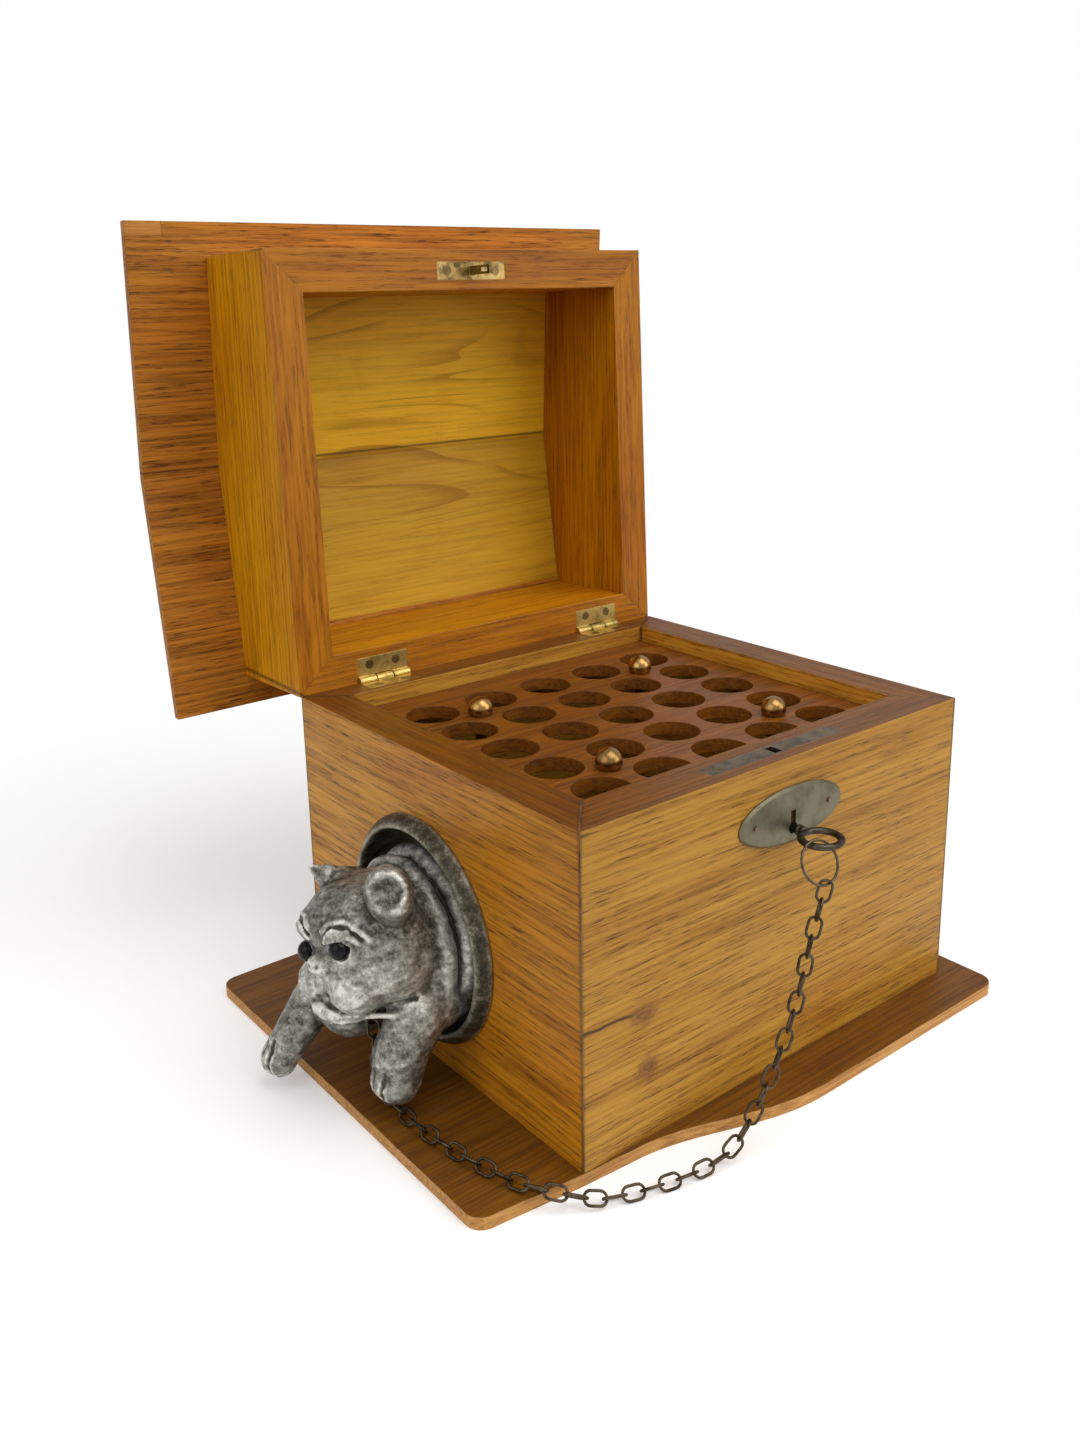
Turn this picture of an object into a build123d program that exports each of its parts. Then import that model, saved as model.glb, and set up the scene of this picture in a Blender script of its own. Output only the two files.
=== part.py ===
from build123d import *
import math
import os

# A cigar humidor made like a dog's kennel. A mitred wooden box stands on a wider base board, a shallow
# gabled lid opens on two brass butt hinges, and a cast bulldog comes out of a metal porthole in the left
# face. A key in the front lock carries a ring and a guard chain that runs back to the dog's chest.
# Frame: Z = 0 is the table, X = 0 and Y = 0 are the middle of the box, the lock faces -Y, the dog -X.
# Lengths are in millimetres, angles in degrees.

# Box
BOX_WIDTH = 210.0
BOX_DEPTH = 190.0
BOX_HEIGHT = 130.0
FRONT_WALL = 20.0
SIDE_WALL = 18.0
BACK_WALL = 13.0

# Base board
BASE_THICKNESS = 5.0
PORCH_REACH = 43.0
PORCH_FRONT_INSET = 5.0
BASE_BACK_OVERHANG = 14.0
BASE_END_OVERHANG = 13.0
BASE_FRONT_OVERHANG = 21.0
BASE_CORNER_RADIUS = 7.0
BASE_WAVE_START = 0.13
BASE_WAVE_END = 0.51

# Lid
RIM_GAP = 0.8
EAVES_HEIGHT = 53.5
RIDGE_RISE = 8.8
LID_LOCK_RAIL = 18.0
LID_SIDE_BOARD = 17.5
LID_HINGE_RAIL = 14.0
LID_OPEN_ANGLE = 92.2

# Roof
ROOF_THICKNESS = 4.0
ROOF_DOG_OVERHANG = 36.0
ROOF_END_OVERHANG = 20.0
ROOF_EAVES_OVERHANG = 15.0
SPLICE_LENGTH = 16.0
SPLICE_WIDTH = 6.0

# Hinges
HINGE_LENGTH = 26.5
HINGE_LEAF_WIDTH = 10.0
HINGE_LEAF_THICKNESS = 1.2
HINGE_BARREL_RADIUS = 2.0
HINGE_PIN_RADIUS = 1.0
HINGE_PIN_CLEARANCE = 0.04
HINGE_AXIS_SETBACK = 0.6
HINGE_KNUCKLE_GAP = 0.25
HINGE_GAIN_CLEARANCE = 0.3
HINGE_LEFT_X = -62.0
HINGE_RIGHT_X = 68.0
HINGE_SCREW_SPACING = 14.0
HINGE_SCREW_INSET = 6.5
SCREW_SHANK_RADIUS = 1.1
SCREW_HEAD_RADIUS = 2.2
SCREW_HEAD_DEPTH = 0.9
SCREW_LENGTH = 9.0

# Lock
LOCK_SETBACK = 9.5
LOCK_CASE_WIDTH = 52.0
LOCK_CASE_DEPTH = 10.0
LOCK_CASE_HEIGHT = 38.0
SELVAGE_LENGTH = 74.0
SELVAGE_WIDTH = 8.0
SELVAGE_THICKNESS = 1.5
SELVAGE_SCREW_SPACING = 60.0
LOCK_SLOT_LENGTH = 4.0
LOCK_SLOT_WIDTH = 6.0
STAPLE_THICKNESS = 2.0
STAPLE_WIDTH = 4.0
STAPLE_DROP = 15.3
STAPLE_WINDOW_WIDTH = 2.0
STAPLE_WINDOW_HEIGHT = 4.6
STAPLE_TIP = 1.6
LINK_PLATE_LENGTH = 38.0
LINK_PLATE_WIDTH = 8.0
LINK_PLATE_THICKNESS = 1.2
LINK_SCREW_SPACING = 27.0
BOLT_TRAVEL = 4.6
BOLT_BODY_LENGTH = 13.0
BOLT_BODY_HEIGHT = 9.0
BOLT_BODY_WIDTH = 5.0
BOLT_TONGUE_WIDTH = 1.4
BOLT_TONGUE_HEIGHT = 4.0
BOLT_CLEARANCE = 0.3

# Escutcheon and key
KEY_DROP = 28.5
ESCUTCHEON_RISE = 5.5
ESCUTCHEON_LENGTH = 58.0
ESCUTCHEON_HEIGHT = 22.6
ESCUTCHEON_THICKNESS = 1.5
ESCUTCHEON_PIN_SPACING = 42.0
ESCUTCHEON_PIN_RADIUS = 1.1
KEYHOLE_RADIUS = 2.4
KEYHOLE_SLOT_WIDTH = 2.8
KEYHOLE_SLOT_RISE = 7.2
KEY_SHANK_RADIUS = 1.7
KEY_BEARING_CLEARANCE = 0.06
KEY_COLLAR_RADIUS = 2.2
KEY_COLLAR_LENGTH = 1.6
KEY_COLLAR_REACH = 5.0
KEY_BOW_REACH = 15.0
KEY_BOW_RADIUS = 7.5
KEY_BOW_WIRE = 1.5
KEY_BIT_LENGTH = 6.3
KEY_BIT_THICKNESS = 1.8
KEY_BIT_WIDTH = 3.6
KEY_BIT_CHAMBER = 0.6

# Key ring, given from the key's axis at the face: along X, out of the face, and up
RING_RADIUS = 8.25
RING_WIRE = 0.5
RING_OFFSET_X = -7.9
RING_OFFSET_OUT = 21.1
RING_OFFSET_UP = -5.0
RING_NORMAL = (0.12, 0.88, -0.45)

# Guard chain
LINK_LENGTH = 9.5
LINK_WIDTH = 6.0
LINK_WIRE = 1.1
LINK_PLAY = 0.2

# Porthole
PORTHOLE_Y = 2.5
PORTHOLE_RISE = 56.0
PORTHOLE_RADIUS = 47.0
PORTHOLE_BAND = 8.0
PORTHOLE_PROUD = 6.0
SLEEVE_RADIUS = 43.0
SLEEVE_WALL = 2.5
BACKPLATE_RADIUS = 46.0
BACKPLATE_THICKNESS = 2.0
BACKPLATE_RECESS = 2.5
BACKPLATE_SCREW_CIRCLE = 44.5
BACKPLATE_SCREWS = 4

# Dog: the hook's place is out from the face, along Y from the porthole's middle, and up from the base
NECK_RISE = 55.0
PAW_RISE = 15.5
EYE_RADIUS = 4.0
COLLAR_HOOK = (30.0, -8.0, 35.6)
COLLAR_STAPLE_RADIUS = 2.4
COLLAR_WIRE = 0.6
COLLAR_RING_RADIUS = 2.8
COLLAR_RING_DROP = 3.8

# Cigar rack
RACK_RECESS = 7.5
RACK_BOARD = 6.0
RACK_CLEARANCE = 0.5
RACK_COLUMNS = 5
RACK_ROWS = 5
RACK_PITCH_X = 31.6
RACK_PITCH_Y = 28.2
RACK_HOLE_RADIUS = 12.0
RACK_PATTERN_X = 0.5
RACK_PATTERN_Y = -5.0
POST_RADIUS = 2.5
POST_SOCKET = 3.0
KNOB_RADIUS = 5.5
KNOB_SEAT = 2.6

# Values worked out from the driving sizes
HALF_WIDTH = BOX_WIDTH / 2
HALF_DEPTH = BOX_DEPTH / 2
RIM = BASE_THICKNESS + BOX_HEIGHT
KEY_Z = BASE_THICKNESS + BOX_HEIGHT - KEY_DROP
LOCK_Y = -HALF_DEPTH + LOCK_SETBACK
PORTHOLE_Z = BASE_THICKNESS + PORTHOLE_RISE
HINGE_Y = HALF_DEPTH + HINGE_AXIS_SETBACK
HINGE_Z = RIM + RIM_GAP / 2
LID_FACE = RIM + RIM_GAP
HINGE_AXIS = Axis((0, HINGE_Y, HINGE_Z), (1, 0, 0))
HINGES = {"left": HINGE_LEFT_X, "right": HINGE_RIGHT_X}


def block(x0, x1, y0, y1, z0, z1):
    """A box between two corners."""
    size = (x1 - x0, y1 - y0, z1 - z0)
    return Pos((x0 + x1) / 2, (y0 + y1) / 2, (z0 + z1) / 2) * Box(*size)


def prism(points, z0, z1):
    """A plan outline pulled up from z0 to z1."""
    return Pos(0, 0, z0) * extrude(make_face(Polyline(*points, close=True)), z1 - z0)


def rod_x(radius, length, centre):
    return Pos(*centre) * Rot(0, 90, 0) * Cylinder(radius, length)


def rod_y(radius, length, centre):
    return Pos(*centre) * Rot(90, 0, 0) * Cylinder(radius, length)


def ball(centre, radius):
    """A rounded lump of a casting."""
    return Pos(*centre) * Sphere(radius)


def one(shape):
    """The shape's single largest solid."""
    return max(shape.solids(), key=lambda solid: solid.volume)


def mitred(corner, wall_sides, z0, z1, front, back):
    """Four mitred boards round a rectangle: front, back, left and right."""
    a, b = corner
    inner = [(-a + wall_sides, -b + front), (a - wall_sides, -b + front),
             (a - wall_sides, b - back), (-a + wall_sides, b - back)]
    outer = [(-a, -b), (a, -b), (a, b), (-a, b)]
    boards = []
    for i in range(4):
        j = (i + 1) % 4
        boards.append(prism([outer[i], outer[j], inner[j], inner[i]], z0, z1))
    return boards


def screw_down(x, y, top):
    """A countersunk wood screw whose head is flush with top and whose point is down."""
    head = Pos(x, y, top - SCREW_HEAD_DEPTH / 2) * Cone(SCREW_SHANK_RADIUS, SCREW_HEAD_RADIUS,
                                                        SCREW_HEAD_DEPTH)
    shank = Pos(x, y, top - SCREW_HEAD_DEPTH - SCREW_LENGTH / 2) * Cylinder(SCREW_SHANK_RADIUS, SCREW_LENGTH)
    return one(head + shank)


def opened(shape):
    """A lid piece, drawn with the lid shut, turned to where it stands open."""
    return shape.rotate(HINGE_AXIS, -LID_OPEN_ANGLE)


def mirrored_up(shape):
    """A piece on the rim turned over onto the shut lid's face."""
    return mirror(shape, Plane.XY.offset(HINGE_Z))


def hinge_screw_places(x):
    half = HINGE_SCREW_SPACING / 2
    y = HALF_DEPTH - HINGE_SCREW_INSET
    return [(x - half, y), (x + half, y)]


def hinge_gain(x):
    """The recess for one leaf and the half-round notch for its barrel."""
    leaf = block(x - HINGE_LENGTH / 2, x + HINGE_LENGTH / 2, HALF_DEPTH - HINGE_LEAF_WIDTH,
                 HALF_DEPTH + 1, RIM - HINGE_LEAF_THICKNESS, RIM + 1)
    notch = rod_x(HINGE_BARREL_RADIUS + HINGE_GAIN_CLEARANCE, HINGE_LENGTH, (x, HINGE_Y, HINGE_Z))
    gain = leaf + notch
    for place in hinge_screw_places(x):
        gain += screw_down(*place, RIM)
    return gain


def hinge_leaf(x, middle):
    """A leaf on the rim. The middle knuckle is the box's, and the two outer ones are the lid's."""
    third = HINGE_LENGTH / 3
    plate = block(x - HINGE_LENGTH / 2, x + HINGE_LENGTH / 2, HALF_DEPTH - HINGE_LEAF_WIDTH,
                  HINGE_Y, RIM - HINGE_LEAF_THICKNESS, RIM)
    own = [0] if middle else [-1, 1]
    other = [-1, 1] if middle else [0]
    leaf = plate
    for k in own:
        leaf += rod_x(HINGE_BARREL_RADIUS, third, (x + k * third, HINGE_Y, HINGE_Z))
    for k in other:
        relief = rod_x(HINGE_BARREL_RADIUS + HINGE_GAIN_CLEARANCE, third + 2 * HINGE_KNUCKLE_GAP,
                       (x + k * third, HINGE_Y, HINGE_Z))
        leaf -= relief
    leaf -= rod_x(HINGE_PIN_RADIUS + HINGE_PIN_CLEARANCE, HINGE_LENGTH + 2, (x, HINGE_Y, HINGE_Z))
    for place in hinge_screw_places(x):
        leaf -= screw_down(*place, RIM)
    return one(leaf)


def lock_case_block(grow=0.0):
    half = LOCK_CASE_WIDTH / 2 + grow
    top = RIM - SELVAGE_THICKNESS
    return block(-half, half, LOCK_Y - LOCK_CASE_DEPTH / 2, LOCK_Y + LOCK_CASE_DEPTH / 2,
                 top - LOCK_CASE_HEIGHT, top)


def keyhole_cutter(y0, y1):
    """The keyhole's round eye and its slot above, between two depths."""
    eye = rod_y(KEYHOLE_RADIUS, y1 - y0, (0, (y0 + y1) / 2, KEY_Z))
    slot = block(-KEYHOLE_SLOT_WIDTH / 2, KEYHOLE_SLOT_WIDTH / 2, y0, y1, KEY_Z, KEY_Z + KEYHOLE_SLOT_RISE)
    return eye + slot


def make_box():
    """The four mitred panels with everything that is let into them."""
    front, end, back, dog = mitred((HALF_WIDTH, HALF_DEPTH), SIDE_WALL, BASE_THICKNESS, RIM,
                                   FRONT_WALL, BACK_WALL)
    front -= lock_case_block()
    front -= block(-SELVAGE_LENGTH / 2, SELVAGE_LENGTH / 2, LOCK_Y - SELVAGE_WIDTH / 2,
                   LOCK_Y + SELVAGE_WIDTH / 2, RIM - SELVAGE_THICKNESS, RIM + 1)
    front -= keyhole_cutter(-HALF_DEPTH - 1, LOCK_Y)
    for x in (-SELVAGE_SCREW_SPACING / 2, SELVAGE_SCREW_SPACING / 2):
        front -= screw_down(x, LOCK_Y, RIM)
    for x in HINGES.values():
        back -= hinge_gain(x)
    centre = (-HALF_WIDTH + SIDE_WALL / 2, PORTHOLE_Y, PORTHOLE_Z)
    dog -= rod_x(SLEEVE_RADIUS, SIDE_WALL + 2, centre)
    inner_face = -HALF_WIDTH + SIDE_WALL
    dog -= rod_x(BACKPLATE_RADIUS, 2 * BACKPLATE_RECESS, (inner_face, PORTHOLE_Y, PORTHOLE_Z))
    for screw in backplate_screw_shapes():
        dog -= screw
    return {"box_front_panel": one(front), "box_end_panel": one(end), "box_back_panel": one(back),
            "box_dog_panel": one(dog)}


def make_base():
    """The base board: flush under the dog's corner, swelling out below the lock, with a porch."""
    left_front = (-HALF_WIDTH - PORCH_REACH, -HALF_DEPTH + PORCH_FRONT_INSET)
    left_back = (-HALF_WIDTH - PORCH_REACH, HALF_DEPTH + BASE_BACK_OVERHANG)
    right_back = (HALF_WIDTH + BASE_END_OVERHANG, HALF_DEPTH + BASE_BACK_OVERHANG)
    right_front = (HALF_WIDTH + BASE_END_OVERHANG, -HALF_DEPTH - BASE_FRONT_OVERHANG)
    flush = (-HALF_WIDTH, -HALF_DEPTH)
    wave_start = (-HALF_WIDTH + BASE_WAVE_START * BOX_WIDTH, -HALF_DEPTH - 2)
    wave_end = (-HALF_WIDTH + BASE_WAVE_END * BOX_WIDTH, -HALF_DEPTH - BASE_FRONT_OVERHANG)
    wave = Spline(wave_start, wave_end, tangents=[(1, -0.12), (1, 0)])
    edges = [Line(left_front, flush), Line(flush, wave_start), wave, Line(wave_end, right_front),
             Line(right_front, right_back), Line(right_back, left_back), Line(left_back, left_front)]
    board = extrude(make_face(Wire(edges)), BASE_THICKNESS)
    corners = [edge for edge in board.edges().filter_by(Axis.Z)
               if abs(edge.center().X) > HALF_WIDTH + 1]
    return one(fillet(corners, BASE_CORNER_RADIUS))


def roof_slab(side, low, high):
    """The space between two heights above the roof's underside, on one slope."""
    slope = RIDGE_RISE / HALF_DEPTH
    eave = HALF_DEPTH + ROOF_EAVES_OVERHANG
    bottom = LID_FACE + EAVES_HEIGHT
    ridge = bottom + RIDGE_RISE
    edge = ridge - slope * eave
    points = [(0, 0, ridge + low), (0, side * eave, edge + low), (0, side * eave, edge + high),
              (0, 0, ridge + high)]
    face = make_face(Polyline(*points, close=True))
    length = BOX_WIDTH + ROOF_DOG_OVERHANG + ROOF_END_OVERHANG
    slab = extrude(face, length, dir=(1, 0, 0))
    return Pos(-HALF_WIDTH - ROOF_DOG_OVERHANG, 0, 0) * slab


def make_lid():
    """The lid drawn shut: four mitred boards cut to the roof, two slopes, and the corner splice."""
    top = LID_FACE + EAVES_HEIGHT + RIDGE_RISE + 1
    boards = mitred((HALF_WIDTH, HALF_DEPTH), LID_SIDE_BOARD, LID_FACE, top, LID_LOCK_RAIL, LID_HINGE_RAIL)
    above = roof_slab(-1, 0, 20) + roof_slab(1, 0, 20)
    front, end, back, dog = [one(board - above) for board in boards]
    for x in HINGES.values():
        back -= mirrored_up(hinge_gain(x))
    front -= mirrored_up(link_plate_block())
    for x in (-LINK_SCREW_SPACING / 2, LINK_SCREW_SPACING / 2):
        front -= mirrored_up(screw_down(x, LOCK_Y, RIM))
    splice_zone = block(-HALF_WIDTH - ROOF_DOG_OVERHANG, -HALF_WIDTH - ROOF_DOG_OVERHANG + SPLICE_LENGTH,
                        -HALF_DEPTH - ROOF_EAVES_OVERHANG, -HALF_DEPTH - ROOF_EAVES_OVERHANG + SPLICE_WIDTH,
                        LID_FACE, top + 20)
    front_slope = roof_slab(-1, 0, ROOF_THICKNESS)
    return {
        "lid_lock_rail": one(front),
        "lid_hinge_rail": one(back),
        "lid_dog_gable": dog,
        "lid_end_gable": end,
        "roof_lock_slope": one(front_slope - splice_zone),
        "roof_hinge_slope": one(roof_slab(1, 0, ROOF_THICKNESS)),
        "roof_corner_splice": one(front_slope & splice_zone),
    }


def make_hinges():
    parts = {}
    for side, x in HINGES.items():
        parts[f"hinge_{side}_box_leaf"] = hinge_leaf(x, middle=True)
        parts[f"hinge_{side}_lid_leaf"] = opened(mirrored_up(hinge_leaf(x, middle=False)))
        parts[f"hinge_{side}_pin"] = rod_x(HINGE_PIN_RADIUS, HINGE_LENGTH, (x, HINGE_Y, HINGE_Z))
    places = [place for x in HINGES.values() for place in hinge_screw_places(x)]
    box_screws = [screw_down(*place, RIM) for place in places]
    parts["hinge_box_screws"] = Compound(box_screws)
    parts["hinge_lid_screws"] = Compound([opened(mirrored_up(screw)) for screw in box_screws])
    return parts


def link_plate_block():
    return block(-LINK_PLATE_LENGTH / 2, LINK_PLATE_LENGTH / 2, LOCK_Y - LINK_PLATE_WIDTH / 2,
                 LOCK_Y + LINK_PLATE_WIDTH / 2, RIM - LINK_PLATE_THICKNESS, RIM)


def make_link_plate():
    """The lid's plate with its staple, drawn shut, so the staple reaches down into the lock."""
    plate = mirrored_up(link_plate_block())
    for x in (-LINK_SCREW_SPACING / 2, LINK_SCREW_SPACING / 2):
        plate -= mirrored_up(screw_down(x, LOCK_Y, RIM))
    tip = LID_FACE - STAPLE_DROP
    staple = block(-STAPLE_THICKNESS / 2, STAPLE_THICKNESS / 2, LOCK_Y - STAPLE_WIDTH / 2,
                   LOCK_Y + STAPLE_WIDTH / 2, tip, LID_FACE + LINK_PLATE_THICKNESS / 2)
    window = block(-STAPLE_THICKNESS, STAPLE_THICKNESS, LOCK_Y - STAPLE_WINDOW_WIDTH / 2,
                   LOCK_Y + STAPLE_WINDOW_WIDTH / 2, tip + STAPLE_TIP, tip + STAPLE_TIP + STAPLE_WINDOW_HEIGHT)
    return one(plate + staple - window)


def make_lock():
    """Selvage, case with its wells, and the bolt, drawn back."""
    well_bottom = LID_FACE - STAPLE_DROP - 1.5
    bolt_z = LID_FACE - STAPLE_DROP + STAPLE_TIP + STAPLE_WINDOW_HEIGHT / 2
    body_end = -STAPLE_THICKNESS / 2 - BOLT_TRAVEL - 0.4
    body_start = body_end - BOLT_BODY_LENGTH
    tongue_tip = -STAPLE_THICKNESS / 2 - 0.6
    bolt = block(body_start, body_end, LOCK_Y - BOLT_BODY_WIDTH / 2, LOCK_Y + BOLT_BODY_WIDTH / 2,
                 bolt_z - BOLT_BODY_HEIGHT / 2, bolt_z + BOLT_BODY_HEIGHT / 2)
    bolt += block(body_end, tongue_tip, LOCK_Y - BOLT_TONGUE_WIDTH / 2, LOCK_Y + BOLT_TONGUE_WIDTH / 2,
                  bolt_z - BOLT_TONGUE_HEIGHT / 2, bolt_z + BOLT_TONGUE_HEIGHT / 2)
    case = lock_case_block()
    case -= block(-LOCK_SLOT_LENGTH / 2, tongue_tip + BOLT_TRAVEL + 1, LOCK_Y - LOCK_SLOT_WIDTH / 2,
                  LOCK_Y + LOCK_SLOT_WIDTH / 2, well_bottom, RIM)
    case -= block(body_start - BOLT_CLEARANCE, -LOCK_SLOT_LENGTH / 2,
                  LOCK_Y - BOLT_BODY_WIDTH / 2 - BOLT_CLEARANCE, LOCK_Y + BOLT_BODY_WIDTH / 2 + BOLT_CLEARANCE,
                  bolt_z - BOLT_BODY_HEIGHT / 2 - BOLT_CLEARANCE, bolt_z + BOLT_BODY_HEIGHT / 2 + BOLT_CLEARANCE)
    chamber = rod_y(KEY_BIT_LENGTH + KEY_BIT_CHAMBER, KEY_BIT_WIDTH + 2 * KEY_BIT_CHAMBER, (0, LOCK_Y, KEY_Z))
    case -= chamber
    case -= keyhole_cutter(LOCK_Y - LOCK_CASE_DEPTH / 2 - 1, LOCK_Y)
    case -= rod_y(KEY_SHANK_RADIUS + KEY_BEARING_CLEARANCE, LOCK_CASE_DEPTH / 2 - 1,
                  (0, LOCK_Y + (LOCK_CASE_DEPTH / 2 - 1) / 2, KEY_Z))
    selvage = block(-SELVAGE_LENGTH / 2, SELVAGE_LENGTH / 2, LOCK_Y - SELVAGE_WIDTH / 2,
                    LOCK_Y + SELVAGE_WIDTH / 2, RIM - SELVAGE_THICKNESS, RIM)
    selvage -= block(-LOCK_SLOT_LENGTH / 2, LOCK_SLOT_LENGTH / 2, LOCK_Y - LOCK_SLOT_WIDTH / 2,
                     LOCK_Y + LOCK_SLOT_WIDTH / 2, RIM - 5, RIM + 1)
    screws = [screw_down(x, LOCK_Y, RIM) for x in (-SELVAGE_SCREW_SPACING / 2, SELVAGE_SCREW_SPACING / 2)]
    for screw in screws:
        selvage -= screw
    return {"lock_case": one(case), "lock_selvage": one(selvage), "lock_bolt": one(bolt),
            "lock_selvage_screws": Compound(screws)}


def make_escutcheon():
    """The oval plate, tapered to a thin edge, with its keyhole and two round-headed pins."""
    z = KEY_Z + ESCUTCHEON_RISE
    face = -HALF_DEPTH
    ground = Pos(0, face, z) * Rot(90, 0, 0) * Ellipse(ESCUTCHEON_LENGTH / 2, ESCUTCHEON_HEIGHT / 2)
    plate = extrude(ground, ESCUTCHEON_THICKNESS, dir=(0, -1, 0))
    plate = chamfer(plate.edges().sort_by(Axis.Y)[0], ESCUTCHEON_THICKNESS * 0.6)
    plate -= keyhole_cutter(face - ESCUTCHEON_THICKNESS - 1, face + 1)
    pins = []
    for x in (-ESCUTCHEON_PIN_SPACING / 2, ESCUTCHEON_PIN_SPACING / 2):
        front = face - ESCUTCHEON_THICKNESS
        stem = rod_y(ESCUTCHEON_PIN_RADIUS * 0.6, ESCUTCHEON_THICKNESS + 0.4,
                     (x, front + (ESCUTCHEON_THICKNESS + 0.4) / 2 - 0.4, z))
        head = rod_y(ESCUTCHEON_PIN_RADIUS, 0.7, (x, front - 0.35, z))
        plate -= stem
        pins.append(one(stem + head))
    plate -= Compound(pins)
    return {"escutcheon": one(plate), "escutcheon_pins": Compound(pins)}


def make_key():
    """The key: flat bit in the lock, shank with a collar, and a round bow lying level."""
    face = -HALF_DEPTH
    bow_y = face - KEY_BOW_REACH
    bow = Pos(0, bow_y, KEY_Z) * Torus(KEY_BOW_RADIUS, KEY_BOW_WIRE)
    shank_start = bow_y + KEY_BOW_RADIUS
    shank_end = LOCK_Y + LOCK_CASE_DEPTH / 2 - 1.5
    shank = rod_y(KEY_SHANK_RADIUS, shank_end - shank_start, (0, (shank_start + shank_end) / 2, KEY_Z))
    collar = rod_y(KEY_COLLAR_RADIUS, KEY_COLLAR_LENGTH, (0, face - KEY_COLLAR_REACH, KEY_Z))
    bit = block(0, KEY_BIT_LENGTH, LOCK_Y - KEY_BIT_WIDTH / 2, LOCK_Y + KEY_BIT_WIDTH / 2,
                KEY_Z - KEY_BIT_THICKNESS / 2, KEY_Z + KEY_BIT_THICKNESS / 2)
    return one(bow + shank + collar + bit)


def ring_centre():
    return Vector(RING_OFFSET_X, -HALF_DEPTH - RING_OFFSET_OUT, KEY_Z + RING_OFFSET_UP)


def make_key_ring():
    plane = Plane(origin=ring_centre(), z_dir=RING_NORMAL)
    return plane * Torus(RING_RADIUS, RING_WIRE)


def chain_link(length, width, wire):
    """A long octagonal link, flat in its own plane."""
    def octagon(half_length, half_width):
        cut = half_width * 0.55
        return Polyline((-half_length, -half_width + cut), (-half_length + cut, -half_width),
                        (half_length - cut, -half_width), (half_length, -half_width + cut),
                        (half_length, half_width - cut), (half_length - cut, half_width),
                        (-half_length + cut, half_width), (-half_length, half_width - cut), close=True)
    outer = make_face(octagon(length / 2, width / 2))
    inner = make_face(octagon(length / 2 - wire, width / 2 - wire))
    return Pos(0, 0, -wire / 2) * extrude(outer - inner, wire)


def chain_route():
    """Where the chain hangs and lies, from the key ring to the dog's chin, as X, Y, Z."""
    left = -HALF_WIDTH
    front = -HALF_DEPTH
    base = BASE_THICKNESS
    ring = ring_centre()
    hook = Vector(*dog_place(*COLLAR_HOOK))
    on_table = LINK_WIDTH / 2 + 0.3
    on_base = base + LINK_WIDTH / 2 + 0.3
    return [
        (ring.X, ring.Y - 3.7, ring.Z - RING_RADIUS + 1.9),
        (left + 90, front - 24, base + 71),
        (left + 84, front - 25, base + 52),
        (left + 77, front - 25, base + 36),
        (left + 69, front - 25, base + 22),
        (left + 60, front - 25, base + 10),
        (left + 49, front - 24.5, on_table + 1.5),
        (left + 36, front - 23, on_table),
        (left + 22, front - 20, on_table),
        (left + 9, front - 16, on_table),
        (left - 3, front - 11.5, on_table + 0.5),
        (left - 13, front - 5, on_table + 3.5),
        (left - 20, front + 2, on_base + 0.5),
        (left - 23, front + 11, on_base),
        (left - 26, front + 22, on_base),
        (left - 29, front + 34, on_base),
        (left - 31, front + 47, on_base),
        (left - 32, front + 60, on_base),
        (left - 32, front + 72, on_base),
        (hook.X - 1, hook.Y - 7, on_base + 1),
        (hook.X, hook.Y, base + 13),
        (hook.X, hook.Y, hook.Z - COLLAR_RING_DROP - COLLAR_RING_RADIUS + 0.95),
    ]


def place_links(points):
    """Links of one pitch, each turned a quarter from the one before, along a curve."""
    curve = Spline(*points)
    pitch = LINK_LENGTH - 2 * LINK_WIRE - LINK_PLAY
    count = math.ceil(curve.length / pitch)
    step = curve.length / count
    master = chain_link(LINK_LENGTH, LINK_WIDTH, LINK_WIRE)
    side = Vector(0, 1, 0)
    links = []
    for i in range(count):
        start = curve.position_at(i * step, position_mode=PositionMode.LENGTH)
        end = curve.position_at((i + 1) * step, position_mode=PositionMode.LENGTH)
        along = (end - start).normalized()
        side = (side - along * side.dot(along)).normalized()
        frame = Plane(origin=(start + end) / 2, x_dir=along, z_dir=side)
        links.append(frame * Rot(45 if i % 2 else -45, 0, 0) * master)
    return links


def make_chain():
    return Compound([one(link) for link in place_links(chain_route())])


def dog_place(out, side, up):
    """A point by the dog: out from the face, along Y from the porthole's middle, up from the base."""
    return (-HALF_WIDTH - out, PORTHOLE_Y + side, BASE_THICKNESS + up)


def backplate_screw_shapes():
    inner_face = -HALF_WIDTH + SIDE_WALL
    screws = []
    for i in range(BACKPLATE_SCREWS):
        angle = math.radians(45 + i * 360 / BACKPLATE_SCREWS)
        y = PORTHOLE_Y + BACKPLATE_SCREW_CIRCLE * math.cos(angle)
        z = PORTHOLE_Z + BACKPLATE_SCREW_CIRCLE * math.sin(angle)
        seat = inner_face - BACKPLATE_RECESS + BACKPLATE_THICKNESS
        screws.append(rod_x(0.8, 6.0, (seat - 3.0, y, z)))
    return screws


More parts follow.
